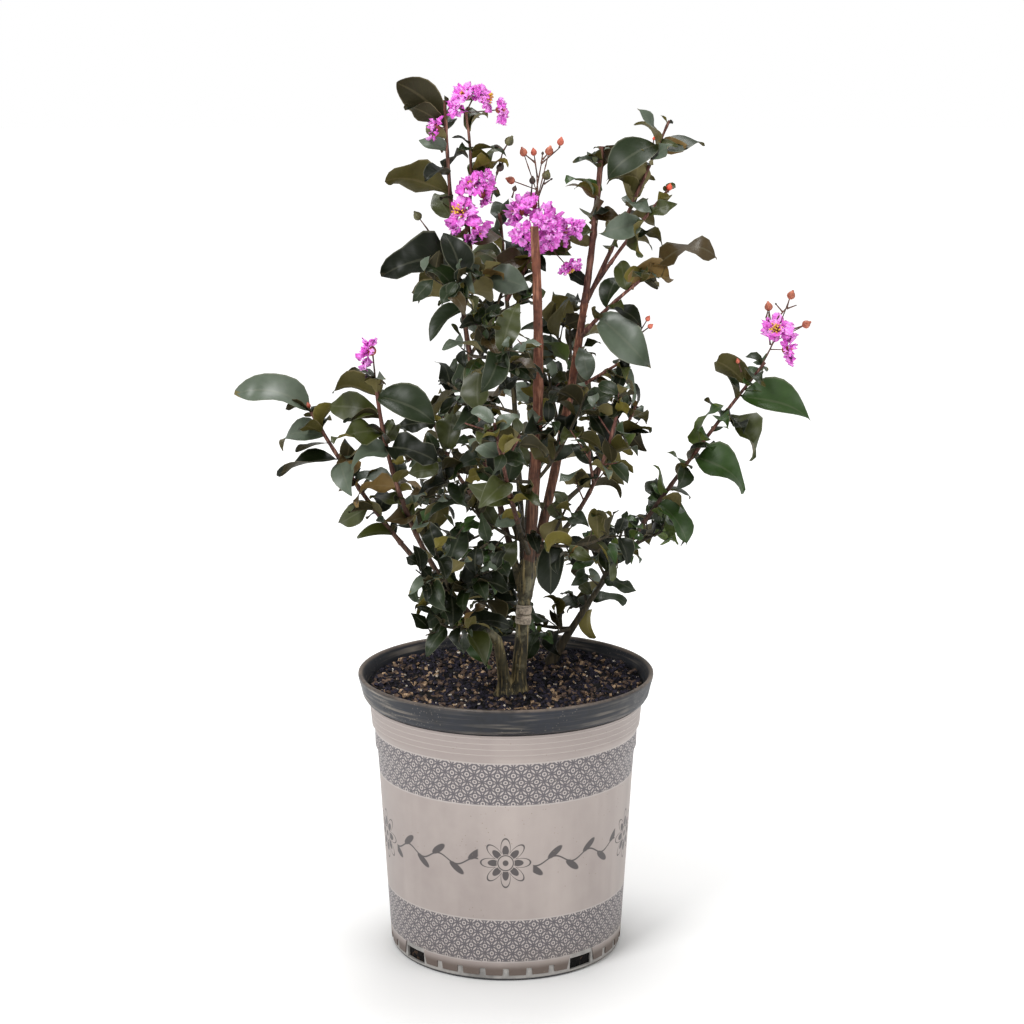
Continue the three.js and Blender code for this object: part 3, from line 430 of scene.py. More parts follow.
pairRule = {
    "turn": 1.5, "stray": 0.5, "wobble": 0.3, "split": 0.12, "spread": (0.75, 1.35), "droop": 0.3,
    "reach": (0.78, 1.12), "shrink": 0.72, "first": 0.1, "tip": 0.6,
}
archRule = {"twist": 1.0, "bend": (0.3, 1.3)}
shootRule = {"thick": 3.2, "thin": 2.0}
twigRule = {
    "first": 0.12, "last": 0.8, "turn": 2.4, "stray": 0.4, "lean": (0.6, 1.1), "shrink": 0.6,
    "vary": (0.8, 1.2), "lift": 0.12, "bow": 0.05, "thick": 1.7, "taper": 0.75, "leaf": 0.8,
    "gap": 0.9, "firstLeaf": 0.15,
}
flowerRule = {"flat": 0.6, "axis": 2.2, "stalk": 1.6, "pod": 5}
clearRule = {"wood": 2.6, "leaf": 4.0, "soil": 4.0, "along": 11, "across": 5, "step": 3, "from": 0.12,
             "width": 0.5, "woodCell": 16, "leafCell": 4,
             "outline": ((0, 0.27, 0.65, 1), (0, 0.46, 0.42, 0))}
soilTop = 220


def mix(a, b, t):
    return a + (b - a) * t


def vec(values):
    return np.array(values, float)


def unit(v):
    return v / math.sqrt(v @ v)


def cross(a, b):
    return vec((a[1] * b[2] - a[2] * b[1], a[2] * b[0] - a[0] * b[2], a[0] * b[1] - a[1] * b[0]))


def stream(seed):
    # a repeatable stream of numbers from 0 to 1
    full = 0xFFFFFFFF
    state = seed

    def draw():
        nonlocal state
        state = (state + 0x6D2B79F5) & full
        t = ((state ^ (state >> 15)) * (state | 1)) & full
        t ^= (t + (((t ^ (t >> 7)) * (t | 61)) & full)) & full
        return ((t ^ (t >> 14)) & full) / (full + 1)
    return draw


def toward(azimuth, rise):
    a, e = math.radians(azimuth), math.radians(rise)
    return vec((math.cos(e) * math.sin(a), -math.cos(e) * math.cos(a), math.sin(e)))


class Stem:
    # a tapering quadratic curve whose middle is pushed out by bow
    def __init__(self, foot, tip, bow, thick, thin):
        self.foot, self.tip = vec(foot), vec(tip)
        self.mid = (self.foot + self.tip) / 2 + vec(bow)
        self.thick, self.thin = thick, thin
        chords = [self.at(i / 16) for i in range(17)]
        self.length = sum(math.dist(a, b) for a, b in zip(chords, chords[1:]))

    def at(self, t):
        return (1 - t) ** 2 * self.foot + 2 * t * (1 - t) * self.mid + t * t * self.tip

    def heading(self, t):
        t = min(1.0, max(0.0, t))
        return unit((1 - t) * (self.mid - self.foot) + t * (self.tip - self.mid))

    def radius(self, t):
        return mix(self.thick, self.thin, t) / 2

    def beyond(self, t):
        foot = self.at(t)
        mid = mix(self.mid, self.tip, t)
        return Stem(foot, self.tip, mid - (foot + self.tip) / 2, 2 * self.radius(t), self.thin)


def outward(heading, angle):
    level = unit(cross(heading, up))
    return level * math.cos(angle) + cross(level, heading) * math.sin(angle)


def arch(root, chord, length, draw):
    # a leaf along a circle, from its root to its tip
    face = up - (up @ chord) * chord
    face = unit(face) if face @ face > 0.01 else vec((0, -1, 0))
    side = cross(chord, face)
    twist = mix(-archRule["twist"], archRule["twist"], draw())
    bend = mix(*archRule["bend"], draw())
    face = face * math.cos(twist) + side * math.sin(twist)
    half = bend / 2
    along = chord * math.cos(half) + face * math.sin(half)
    normal = face * math.cos(half) - chord * math.sin(half)
    return {"root": root, "along": along, "normal": normal, "bend": bend,
            "length": length * half / math.sin(half)}


def sideLeaf(stem, t, angle, length, draw):
    heading = stem.heading(t)
    spread = mix(*pairRule["spread"], draw())
    chord = heading * math.cos(spread) + outward(heading, angle) * math.sin(spread)
    chord = unit(chord - up * pairRule["droop"] * draw())
    reach = length * mix(*pairRule["reach"], draw())
    return arch(stem.at(t), chord, reach, draw)


def leafPairs(stem, draw, length, gap, roll, first, end):
    leaves = []
    count = max(1, math.floor(stem.length * (1 - first) / gap + 0.5))
    for i in range(count):
        t = mix(first, 1, (i + 0.5) / count)
        angle = roll + i * pairRule["turn"] + mix(-pairRule["stray"], pairRule["stray"], draw())
        size = length * mix(1, pairRule["shrink"], t * t)
        for k in (0, 1):
            spot = min(1, t + k * pairRule["split"] * gap / stem.length * draw())
            turn = angle + k * math.pi + mix(-pairRule["wobble"], pairRule["wobble"], draw())
            leaves.append(sideLeaf(stem, spot, turn, size, draw))
    if end:
        leaves.append(sideLeaf(stem, 1, roll, length * pairRule["tip"], draw))
    return leaves


def sideTwig(stem, t, angle, lean, length, thick=None):
    heading = stem.heading(t)
    out = outward(heading, angle)
    foot = stem.at(t)
    way = unit(heading * math.cos(lean) + out * math.sin(lean))
    tip = foot + way * length + up * twigRule["lift"] * length
    thick = thick or stem.radius(t) * twigRule["thick"]
    return Stem(foot, tip, out * twigRule["bow"] * length, thick, thick * twigRule["taper"])


def grow(name, stem, hasRoom):
    # everything one mass grows from its stem, by its own seed
    plan = massPlans[name]
    draw = stream(plan["seed"])

    def singles(rows):
        return [arch(stem.at(at), toward(azimuth, rise), length, draw)
                for at, azimuth, rise, length in rows.get(name, ())]

    leaves = singles(leaders)
    end = plan.get("end", False)
    leaves += leafPairs(stem, draw, plan["leaf"], plan["gap"], plan["roll"], pairRule["first"], end)
    shoots = [stem]
    count = plan.get("twigs", 0)
    for k in range(count):
        t = mix(twigRule["first"], twigRule["last"], (k + 0.5) / count)
        stray = mix(-twigRule["stray"], twigRule["stray"], draw())
        angle = plan["roll"] + k * twigRule["turn"] + stray
        length = plan["side"] * mix(1, twigRule["shrink"], t) * mix(*twigRule["vary"], draw())
        side = sideTwig(stem, t, angle, mix(*twigRule["lean"], draw()), length)
        spray = leafPairs(side, draw, plan["leaf"] * twigRule["leaf"], plan["gap"] * twigRule["gap"],
                          plan["roll"] + k, twigRule["firstLeaf"], True)
        if hasRoom(side):
            shoots.append(side)
            leaves += spray
    return shoots, leaves + singles(late)


def leafPoints(leaf, u, h, lift=0.0):
    # points of a leaf: u from root to tip, h sideways in leaf widths, lift off its face
    turn = leaf["bend"] * u
    rounding = leaf["length"] / leaf["bend"]
    side = cross(leaf["along"], leaf["normal"])
    return (leaf["root"] + np.outer((rounding + lift) * np.sin(turn), leaf["along"])
            + np.outer((rounding + lift) * np.cos(turn) - rounding, leaf["normal"])
            + np.outer(h * clearRule["width"] * leaf["length"], side))


class Marks:
    # marks in space, each with a radius and an owner, sorted into cells
    def __init__(self, cell):
        self.cell = cell
        self.cells = {}

    def key(self, point):
        return tuple(math.floor(v / self.cell) for v in point)

    def add(self, point, radius, owner):
        spot = tuple(map(float, point))
        self.cells.setdefault(self.key(spot), []).append((spot, radius, owner))

    def blocks(self, point, reach, owner):
        x, y, z = self.key(point)
        for i in (x - 1, x, x + 1):
            for j in (y - 1, y, y + 1):
                for k in (z - 1, z, z + 1):
                    for spot, radius, whose in self.cells.get((i, j, k), ()):
                        if whose != owner and math.dist(spot, point) - radius < reach:
                            return True
        return False


def stemPlaces(stem, start=0.0):
    count = max(3, math.floor(stem.length / clearRule["step"]))
    return [mix(start, 1, i / count) for i in range(count + 1)]


def leafMarks(leaf):
    u = np.repeat(np.linspace(clearRule["from"], 1, clearRule["along"]), clearRule["across"])
    width = np.interp(u, *clearRule["outline"])
    h = np.tile(np.linspace(-1, 1, clearRule["across"]), clearRule["along"]) * width
    return leafPoints(leaf, u, h)


def isBranch(plan):
    # whether a limb starts from another one and not in the soil
    return isinstance(plan["foot"][0], str)


stems = {}
for name, plan in limbPlans.items():
    foot = plan["foot"]
    if isBranch(plan):
        foot = stems[foot[0]].at(foot[1])
    stems[name] = Stem(foot, plan["tip"], plan["bow"], plan["thick"], plan["thin"])


def massStem(name):
    if name in endRows:
        return stems[name].beyond(limbPlans[name]["bare"])
    plan = massPlans[name]
    foot = stems[plan["source"]].at(plan["at"])
    way = toward(plan["azimuth"], plan["rise"])
    sag = plan["sag"] * plan["reach"]
    bow = (way[0] * sag * 0.5, way[1] * sag * 0.5, -sag)
    return Stem(foot, foot + way * plan["reach"], bow, shootRule["thick"], shootRule["thin"])


def panicleParts(name, stem):
    # the stalks and heads of a mass's panicle; a flower on the axis has no stalk
    if name not in panicles:
        return [], []
    (at, azimuth, rise, length), rows = panicles[name]
    foot, straight = stem.at(at), (0, 0, 0)
    axis = Stem(foot, foot + toward(azimuth, rise) * length, straight, *[flowerRule["axis"]] * 2)
    stalks, heads = [axis], []
    for spot, side, lift, reach, radius in rows:
        foot, way = axis.at(spot), toward(side, lift)
        stalk = Stem(foot, foot + way * reach, straight, *[flowerRule["stalk"]] * 2)
        if reach > flowerRule["flat"] * radius:
            stalks.append(stalk)
        heads.append({"point": stalk.tip, "way": way, "radius": radius})
    return stalks, heads


woodMarks = Marks(clearRule["woodCell"])
leafTaken = Marks(clearRule["leafCell"])


def isFree(point, owner, wood=None, leaf=None):
    if point[2] < soilTop + clearRule["soil"]:
        return False
    if woodMarks.blocks(point, wood or clearRule["wood"], owner):
        return False
    return not leafTaken.blocks(point, leaf or clearRule["leaf"], owner)


# Finer growth that the solids leave out: short twigs with small leaves in the dense masses, smaller
# leaves between the pairs of the tall shoots, and two young leaves at the end of each shoot.
fineRule = {
    "seedShift": 5000, "spacing": 18, "from": 0.3, "along": 0.5, "reach": (12, 26), "lean": (0.7, 1.2),
    "turn": 2.4, "stray": 1.2, "thick": 1.3, "leaf": 26, "gap": 13, "roll": 6, "firstLeaf": 0.3,
    "wood": 1.2, "leafClear": 2.0, "clearFrom": 0.4, "between": 12, "betweenLeaf": (18, 32),
    "young": (7, 13), "youngAt": 0.97, "youngRoll": 3,
}


def growFine(name, shoots):
    # fine twigs and leaves stay within the reach of their own mass
    plan = massPlans[name]
    draw = stream(plan["seed"] + fineRule["seedShift"])
    low, high = (vec(corner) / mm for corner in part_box(f"{name}_leaves"))
    dense = "side" in plan

    def fits(points):
        return all((low <= p).all() and (p <= high).all()
                   and isFree(p, name, fineRule["wood"], fineRule["leafClear"]) for p in points)

    def angle(k):
        return fineRule["turn"] * k + fineRule["stray"] * draw()

    twigs, leaves = [], []
    for shoot in shoots:
        count = int(shoot.length / fineRule["spacing"]) if dense else 0
        for k in range(count):
            t = (k + fineRule["from"] + fineRule["along"] * draw()) / count
            length = mix(*fineRule["reach"], draw())
            lean = mix(*fineRule["lean"], draw())
            twig = sideTwig(shoot, t, angle(k), lean, length, fineRule["thick"])
            spray = leafPairs(twig, draw, fineRule["leaf"], fineRule["gap"], fineRule["roll"] * draw(),
                              fineRule["firstLeaf"], True)
            if fits([twig.at(s) for s in stemPlaces(twig, fineRule["clearFrom"])]):
                twigs.append(twig)
                leaves += [leaf for leaf in spray if fits(leafMarks(leaf))]
        count = 0 if dense else int(shoot.length / fineRule["between"])
        for k in range(count):
            length = mix(*fineRule["betweenLeaf"], draw())
            leaf = sideLeaf(shoot, (k + draw()) / count, angle(k), length, draw)
            if fits(leafMarks(leaf)):
                leaves.append(leaf)
        for k in (0, 1):
            roll = fineRule["youngRoll"] * draw() + math.pi * k
            leaves.append(sideLeaf(shoot, fineRule["youngAt"], roll, mix(*fineRule["young"], draw()), draw))
    return twigs, leaves


def markStem(marks, stem, name, thick):
    for t in stemPlaces(stem):
        marks.add(stem.at(t), stem.radius(t) if thick else 0, name)


def markLeaves(leaves, name):
    for leaf in leaves:
        for point in leafMarks(leaf):
            leafTaken.add(point, 0, name)


def growPlant():
    # the same masses, in the same order and by the same skip rule, as the solids, then finer growth
    plants = {}
    for name in massPlans:
        stem = massStem(name)
        stalks, heads = panicleParts(name, stem)
        plants[name] = {"stem": stem, "stalks": stalks, "heads": heads}
    for name, plan in limbPlans.items():
        stem = stems[name]
        for t in stemPlaces(stem):
            if t <= plan["bare"]:
                woodMarks.add(stem.at(t), stem.radius(t), name)
    for name, plant in plants.items():
        for stem in [plant["stem"]] + plant["stalks"]:
            markStem(woodMarks, stem, name, True)
        for head in plant["heads"]:
            woodMarks.add(head["point"], head["radius"], name)
    for name, plant in plants.items():
        def hasRoom(side):
            return all(isFree(side.at(t), name) for t in stemPlaces(side, clearRule["from"]))
        shoots, leaves = grow(name, plant["stem"], hasRoom)
        leaves = [leaf for leaf in leaves if all(isFree(p, name) for p in leafMarks(leaf))]
        markLeaves(leaves, name)
        for side in shoots:
            markStem(leafTaken, side, name, False)
        plant.update(shoots=shoots, leaves=leaves)
    for name, plant in plants.items():
        plant["fineTwigs"], plant["fineLeaves"] = growFine(name, plant["shoots"])
        markLeaves(plant["fineLeaves"], name)
    return plants


plants = growPlant()
print("grown:", sum(len(p["leaves"]) for p in plants.values()), "leaves and",
      sum(len(p["fineLeaves"]) for p in plants.values()), "finer ones")


def buildMottle():
    # soft uneven tone at two sizes
    tree, given, result = shaderGroup("mottle", {"Scale": 40.0, "Fine": 6.0, "Contrast": 1.0},
                                      ("Value", "Height"))
    broad = noise(given["Vector"], given["Scale"], 3.0)
    fine = noise(given["Vector"], times(given["Scale"], given["Fine"]), 4.0)
    both = plus(times(broad, 0.6), times(fine, 0.4))
    spread = times(minus(both, 0.5), given["Contrast"])
    tree.links.new(calc("MULTIPLY_ADD", spread, 3.0, 0.5, clamp=True), result["Value"])
    tree.links.new(fine, result["Height"])
    return tree


def buildSpecks():
    # small pale or dark specks, scattered
    tree, given, result = shaderGroup("specks", {
        "Scale": 400.0, "Size": 0.25, "Patches": 30.0, "Amount": 0.5}, ("Mask",))
    values = {"Vector": given["Vector"], "Scale": given["Scale"]}
    cells = put(tree, "ShaderNodeTexVoronoi", values).outputs["Distance"]
    dots = calc("LESS_THAN", cells, given["Size"])
    patch = calc("LESS_THAN", noise(given["Vector"], given["Patches"]), given["Amount"])
    tree.links.new(times(dots, patch), result["Mask"])
    return tree


def buildVeins():
    # a pale midrib and arching side veins over a leaf's own map: x across, y from root to tip
    tree, given, result = shaderGroup("leafVeins", {"Pairs": 7.0}, ("Rib", "Veins", "Margin", "Height"))
    parts = put(tree, "ShaderNodeSeparateXYZ", {0: given["Vector"]}).outputs
    across = calc("ABSOLUTE", minus(parts["X"], 0.5))
    slant = minus(parts["Y"], times(across, 0.55))
    wave = calc("PINGPONG", times(slant, given["Pairs"]), 0.5)
    rib = rangeMap(across, 0.018, 0.05, 1, 0, smooth=True)
    veins = rangeMap(wave, 0.0, 0.09, 1, 0, smooth=True)
    puff = times(wave, rangeMap(across, 0.0, 0.12, 0, 1))
    tree.links.new(rib, result["Rib"])
    tree.links.new(times(veins, rangeMap(across, 0.3, 0.48, 1, 0)), result["Veins"])
    # the paler margin: partly the leaf's own edge, partly a painted highlight along the rim
    tree.links.new(rangeMap(across, 0.45, 0.49, smooth=True), result["Margin"])
    tree.links.new(minus(puff, times(rib, 0.4)), result["Height"])
    return tree


def finishTree(tree, geometry, material, result):
    realized = put(tree, "GeometryNodeRealizeInstances", {0: geometry})
    painted = put(tree, "GeometryNodeSetMaterial", {"Geometry": realized.outputs[0], "Material": material})
    tree.links.new(painted.outputs[0], result[0])


def ruffle(tree, geometry, height, relief):
    # a surface pushed in and out along its normals
    lift = times(minus(height, 0.5), relief)
    normal = tree.nodes.new("GeometryNodeInputNormal").outputs[0]
    push = put(tree, "ShaderNodeVectorMath", {0: normal, "Scale": lift}, operation="SCALE")
    values = {"Geometry": geometry, "Offset": push.outputs[0]}
    return put(tree, "GeometryNodeSetPosition", values).outputs[0]


def buildSweep():
    # a round stem along each curve, with swollen joints and an uneven surface
    tree, given, result = geometryGroup("sweep", {
        "Sides": 10, "Joint Gap": 0.03, "Joint Swell": 0.1, "Relief": 0.0002, "Relief Scale": 200.0,
        "Material": "Material"})
    along = tree.nodes.new("GeometryNodeSplineParameter").outputs["Length"]
    near = calc("PINGPONG", calc("DIVIDE", along, given["Joint Gap"]), 0.5)
    swell = calc("POWER", minus(1.0, times(near, 2.0)), 6.0)
    factor = calc("MULTIPLY_ADD", swell, given["Joint Swell"], 1.0)
    scale = times(tree.nodes.new("GeometryNodeInputRadius").outputs[0], factor)
    ring = put(tree, "GeometryNodeCurvePrimitiveCircle", {"Resolution": given["Sides"], "Radius": 1.0})
    swept = put(tree, "GeometryNodeCurveToMesh", {
        "Curve": given["Geometry"], "Profile Curve": ring.outputs[0], "Scale": scale, "Fill Caps": True})
    spot = tree.nodes.new("GeometryNodeInputPosition").outputs[0]
    moved = ruffle(tree, swept.outputs[0], noise(spot, given["Relief Scale"], 3.0), given["Relief"])
    smooth = put(tree, "GeometryNodeSetShadeSmooth", {0: moved})
    finishTree(tree, smooth.outputs[0], given["Material"], result)
    return tree


def buildRelief():
    # pushes a surface in and out by a noise that is drawn out along the height
    tree, given, result = geometryGroup("relief", {"Relief": 0.001, "Scale": 100.0, "Stretch": 0.3})
    spot = tree.nodes.new("GeometryNodeInputPosition").outputs[0]
    form = put(tree, "ShaderNodeCombineXYZ", {"X": 1.0, "Y": 1.0, "Z": given["Stretch"]})
    drawn = put(tree, "ShaderNodeVectorMath", {0: spot, 1: form.outputs[0]}, operation="MULTIPLY")
    height = noise(drawn.outputs[0], given["Scale"], 4.0)
    tree.links.new(ruffle(tree, given["Geometry"], height, given["Relief"]), result[0])
    return tree


def copyShape(tree, given, result, points, turn, size):
    # one copy of the shape on each point
    shape = put(tree, "GeometryNodeObjectInfo", {"Object": given["Shape"]})
    copies = put(tree, "GeometryNodeInstanceOnPoints", {
        "Points": points, "Instance": shape.outputs["Geometry"], "Rotation": turn, "Scale": size})
    finishTree(tree, copies.outputs[0], given["Material"], result)


fullTurn = 6.28


def buildScatter():
    # copies of one small shape strewn over a surface, turned and sized at random
    tree, given, result = geometryGroup("scatter", {
        "Shape": "Object", "Density": 20000.0, "Smallest": 0.5, "Largest": 1.5, "Tilt": 0.5, "Seed": 1,
        "Material": "Material"})
    dots = put(tree, "GeometryNodeDistributePointsOnFaces", {
        "Mesh": given["Geometry"], "Density": given["Density"], "Seed": given["Seed"]})
    back = times(given["Tilt"], -1.0)
    low = put(tree, "ShaderNodeCombineXYZ", {"X": back, "Y": back, "Z": 0.0}).outputs[0]
    high = put(tree, "ShaderNodeCombineXYZ", {"X": given["Tilt"], "Y": given["Tilt"], "Z": fullTurn})
    values = {0: low, 1: high.outputs[0], "Seed": given["Seed"]}
    turn = put(tree, "FunctionNodeRandomValue", values, data_type="FLOAT_VECTOR")
    values = {2: given["Smallest"], 3: given["Largest"], "Seed": given["Seed"]}
    size = put(tree, "FunctionNodeRandomValue", values, data_type="FLOAT")
    copyShape(tree, given, result, dots.outputs[0], turn.outputs[0], size.outputs[1])
    return tree


def buildHeads():
    # one shape on each point of a mesh, turned along the point's "way" and sized by its "size"
    tree, given, result = geometryGroup("heads", {"Shape": "Object", "Seed": 1, "Material": "Material"})
    size = put(tree, "GeometryNodeInputNamedAttribute", {"Name": "size"}, data_type="FLOAT")
    way = put(tree, "GeometryNodeInputNamedAttribute", {"Name": "way"}, data_type="FLOAT_VECTOR")
    aimed = put(tree, "FunctionNodeAlignRotationToVector", {"Vector": way.outputs[0]}, axis="Z")
    values = {3: fullTurn, "Seed": given["Seed"]}
    spin = put(tree, "FunctionNodeRandomValue", values, data_type="FLOAT")
    turn = put(tree, "ShaderNodeCombineXYZ", {"Z": spin.outputs[1]})
    turned = put(tree, "FunctionNodeRotateRotation", {0: aimed.outputs[0], 1: turn.outputs[0]},
                 rotation_space="LOCAL")
    copyShape(tree, given, result, given["Geometry"], turned.outputs[0], size.outputs[0])
    return tree


mottle = buildMottle()
specks = buildSpecks()
leafVeins = buildVeins()
sweepTree = buildSweep()
reliefTree = buildRelief()
scatterTree = buildScatter()
headTree = buildHeads()


def curveObject(name, paths):
    # paths are lists of (point in metres, radius in metres)
    curve = bpy.data.curves.new(name, "CURVE")
    curve.dimensions = "3D"
    for path in paths:
        spline = curve.splines.new("POLY")
        spline.points.add(len(path) - 1)
        for dot, (spot, radius) in zip(spline.points, path):
            dot.co = (*spot, 1)
            dot.radius = radius
    return newObject(name, curve)


def stemPath(stem, start, stop, step, extra=None):
    count = max(3, round(stem.length * (stop - start) / step))
    places = [mix(start, stop, i / count) for i in range(count + 1)]
    return [(stem.at(t) * mm, (stem.radius(t) + (extra(t) if extra else 0)) * mm) for t in places]


# How each kind of wood is swept along its curves, by the names of the tree's inputs.
sweeps = {
    "trunk": {"Sides": 20, "Joint Gap": 1.0, "Joint Swell": 0.0, "Relief": 0.0, "Relief Scale": 1.0},
    "cane": {"Sides": 14, "Joint Gap": 0.034, "Joint Swell": 0.14, "Relief": 0.0009, "Relief Scale": 260.0},
    "twig": {"Sides": 7, "Joint Gap": 0.018, "Joint Swell": 0.3, "Relief": 0.0003, "Relief Scale": 500.0},
    "stalk": {"Sides": 7, "Joint Gap": 0.012, "Joint Swell": 0.35, "Relief": 0.0004, "Relief Scale": 500.0},
}


def sweep(name, paths, material, kind):
    raw = curveObject(f"{name}Curve", paths)
    addTree(raw, sweepTree, {**sweeps[kind], "Material": material})
    return plainCopy(raw, name)


potShape = {
    "height": 230, "facets": 144, "rows": 24, "wall": 2, "floor": 3, "skin": 0.6, "skinGap": 0.3,
    "heel": [(2.6, 0.0), (1.4, 0.2), (0.4, 1.2), (0.1, 3.0)],  # set in from the foot of the side, height
    "side": [(95.2, 5), (103.9, 151), (105.0, 166), (106.7, 170), (107.0, 184), (109.2, 188),
             (111.0, 207)],
    "rim": [(112.4, 208.5), (114.4, 209.8), (116.4, 213.0), (117.3, 217.0), (118.3, 221.5), (119.5, 225.6),
            (120.0, 227.8), (119.9, 229.2), (119.2, 230.0), (118.4, 230.2), (117.4, 229.9), (116.5, 229.0),
            (115.0, 226.3), (112.9, 221.0)],
    "drainTurn": -50.5, "drainWidth": 27, "drainTop": 17, "drainSlope": 4, "hole": 22, "holeTop": 13,
    "slotTurn": -33.5, "slotStep": 11.2, "slots": 6, "slotWidth": 6, "slotSlope": 1.5, "slotTop": 11,
    "cut": (80, 106), "shellEdge": 40, "sleeveEdge": 30,  # how deep the cuts go, and sharp edges in degrees
}


def lathe(name, outline, facets, closed, materials):
    # a closed outline of radii and heights turned round the pot's axis
    points, faces = [], []
    for i in range(facets):
        a = 2 * math.pi * i / facets
        points += [(r * mm * math.cos(a), r * mm * math.sin(a), z * mm) for r, z in outline]
    rows = len(outline)
    for i in range(facets):
        j = (i + 1) % facets
        for k in range(rows if closed else rows - 1):
            n = (k + 1) % rows
            faces.append((i * rows + k, j * rows + k, j * rows + n, i * rows + n))
    if not closed:
        points += [(0, 0, outline[0][1] * mm), (0, 0, outline[-1][1] * mm)]
        low, high = len(points) - 2, len(points) - 1
        for i in range(facets):
            j = (i + 1) % facets
            faces.append((low, j * rows, i * rows))
            faces.append((high, i * rows + rows - 1, j * rows + rows - 1))
    return solid(name, points, faces, materials)


def cutBlocks(name, blocks):
    # prisms across the wall: azimuth, width below, width above, low, high
    points, faces = [], []
    for azimuth, wide, narrow, low, high in blocks:
        a = math.radians(azimuth)
        out, side = vec((math.sin(a), -math.cos(a))), vec((math.cos(a), math.sin(a)))
        base = len(points)
        for depth in potShape["cut"]:
            for width, height in ((-wide, low), (wide, low), (narrow, high), (-narrow, high)):
                spot = out * depth + side * width / 2
                points.append((spot[0] * mm, spot[1] * mm, height * mm))
        b = base
        faces += [(b + 3, b + 2, b + 1, b), (b + 4, b + 5, b + 6, b + 7)]
        faces += [(b + k, b + (k + 1) % 4, b + 4 + (k + 1) % 4, b + 4 + k) for k in range(4)]
    return solid(name, points, faces, [], smooth=False)


def carve(obj, cutter):
    modify(obj, "BOOLEAN", object=cutter, solver="EXACT")
    name = obj.name
    obj.name = f"{name}Uncut"
    made = plainCopy(obj, name)
    bpy.data.objects.remove(cutter)
    return made


def sharpEdges(obj, angle):
    obj.data.set_sharp_from_angle(angle=math.radians(angle))


def smoothProfile(points, rows):
    # more rows along an outline of radii and heights, for the side's slight unevenness
    radii, heights = zip(*points)
    spots = sorted(set(heights) | set(np.linspace(heights[0], heights[-1], rows)))
    return [(float(np.interp(z, heights, radii)), float(z)) for z in spots]


potLook = {
    "dark": "#090c12", "light": "#1e222c", "scuff": "#8d8478", "rough": 0.44, "gloss": 0.4,
    "foot": "#a3a09c", "lip": "#75685d", "dust": "#a79d90",
}


def potPlastic():
    # blown dark plastic: clouded tone, scuffs that run round, a painted highlight along the top of the rim,
    # a paler band near the foot and specks of dust
    look = Finish("potPlastic", potLook["rough"], potLook["gloss"], 25.0, 1.1)
    look.ground(potLook["dark"], potLook["light"])
    streaks = rangeMap(look.noise(1.0, 4.0, (18, 18, 420)), 0.5, 0.68)
    patches = rangeMap(look.noise(16.0), 0.42, 0.62, 0.12, 0.75)
    look.layer(potLook["scuff"], times(streaks, patches))
    height = look.axis("Z")
    # the top of the lip is painted paler: a painted highlight
    top = rangeMap(height, 0.2275, 0.2302, smooth=True)
    look.layer(potLook["lip"], times(top, look.clouds(0.2, 0.7, 0.4, 0.9)))
    low = times(rangeMap(height, 0.0012, 0.0026, smooth=True), rangeMap(height, 0.022, 0.03, 1, 0))
    look.layer(potLook["foot"], times(low, look.clouds(0.1, 0.6, 0.55, 1)))
    look.layer(potLook["dust"], look.specks(420.0, 0.22, 0.47), 0.18)
    return look.wire(look.cloud["Height"], 0.25, 0.0006, look.clouds(0, 1, 0.36, 0.6))


def makePot():
    skin = potShape["skin"] + potShape["skinGap"]
    floor, hole = potShape["floor"], potShape["hole"]
    outer = [(r - skin, z) for r, z in potShape["side"]]
    inner = [(r - potShape["wall"], z) for r, z in outer if z > floor]
    outline = [(outer[0][0] - inset, z) for inset, z in potShape["heel"]] + outer
    outline += potShape["rim"] + inner[::-1] + [(inner[0][0], floor)]
    shell = lathe("potBlank", outline, potShape["facets"], False, [potPlastic()])
    holes = [(potShape["drainTurn"] + 90 * k, hole, hole, floor + 0.2, potShape["holeTop"])
             for k in range(4)]
    shell.name = "potShell"
    shell = carve(shell, cutBlocks("potCutter", holes))
    sharpEdges(shell, potShape["shellEdge"])
    return dress(shell, "pot", "pot")


printLook = {
    "ground": "#a19792", "pale": "#b1a6a0", "deep": "#918682", "band": "#b2aaa6", "ink": "#393640",
    "dark": "#302c2f", "grime": "#6f665c", "dirt": "#7c6f62", "rib": "#c2b8b1", "slotShade": "#4a3a2f",
    "upper": (148, 184), "lower": (16, 53), "collar": (186, 190), "around": 660.0, "cell": 12.0,
    "frieze": 101, "repeat": 132.0, "rosetteSize": 21.0, "vineSize": 1.5, "wave": 22.0, "ridge": 4.6,
}


def lengthOf(a, b):
    return calc("SQRT", plus(times(a, a), times(b, b)))


def lineAt(value, middle, core, edge):
    # 1 where value is within core of middle, fading to 0 at edge
    return rangeMap(calc("ABSOLUTE", minus(value, middle)), core, edge, 1, 0)


def latticeMask(x, y, cell):
    # overlapping rings with a bead in every second gap
    def inCell(value, shift):
        return minus(calc("FRACT", calc("MULTIPLY_ADD", value, 1 / cell, shift)), 0.5)

    def ring(shift):
        span = lengthOf(inCell(x, shift), inCell(y, shift))
        bead = rangeMap(span, 0.06, 0.09, 1, 0)
        return most(lineAt(span, 0.46, 0.035, 0.07), lineAt(span, 0.2, 0.03, 0.06), bead)

    return most(ring(0.0), ring(0.5))


def between(value, low, high):
    soft = 0.4
    rise = rangeMap(value, low - soft, low + soft)
    return times(rise, rangeMap(value, high - soft, high + soft, 1, 0))


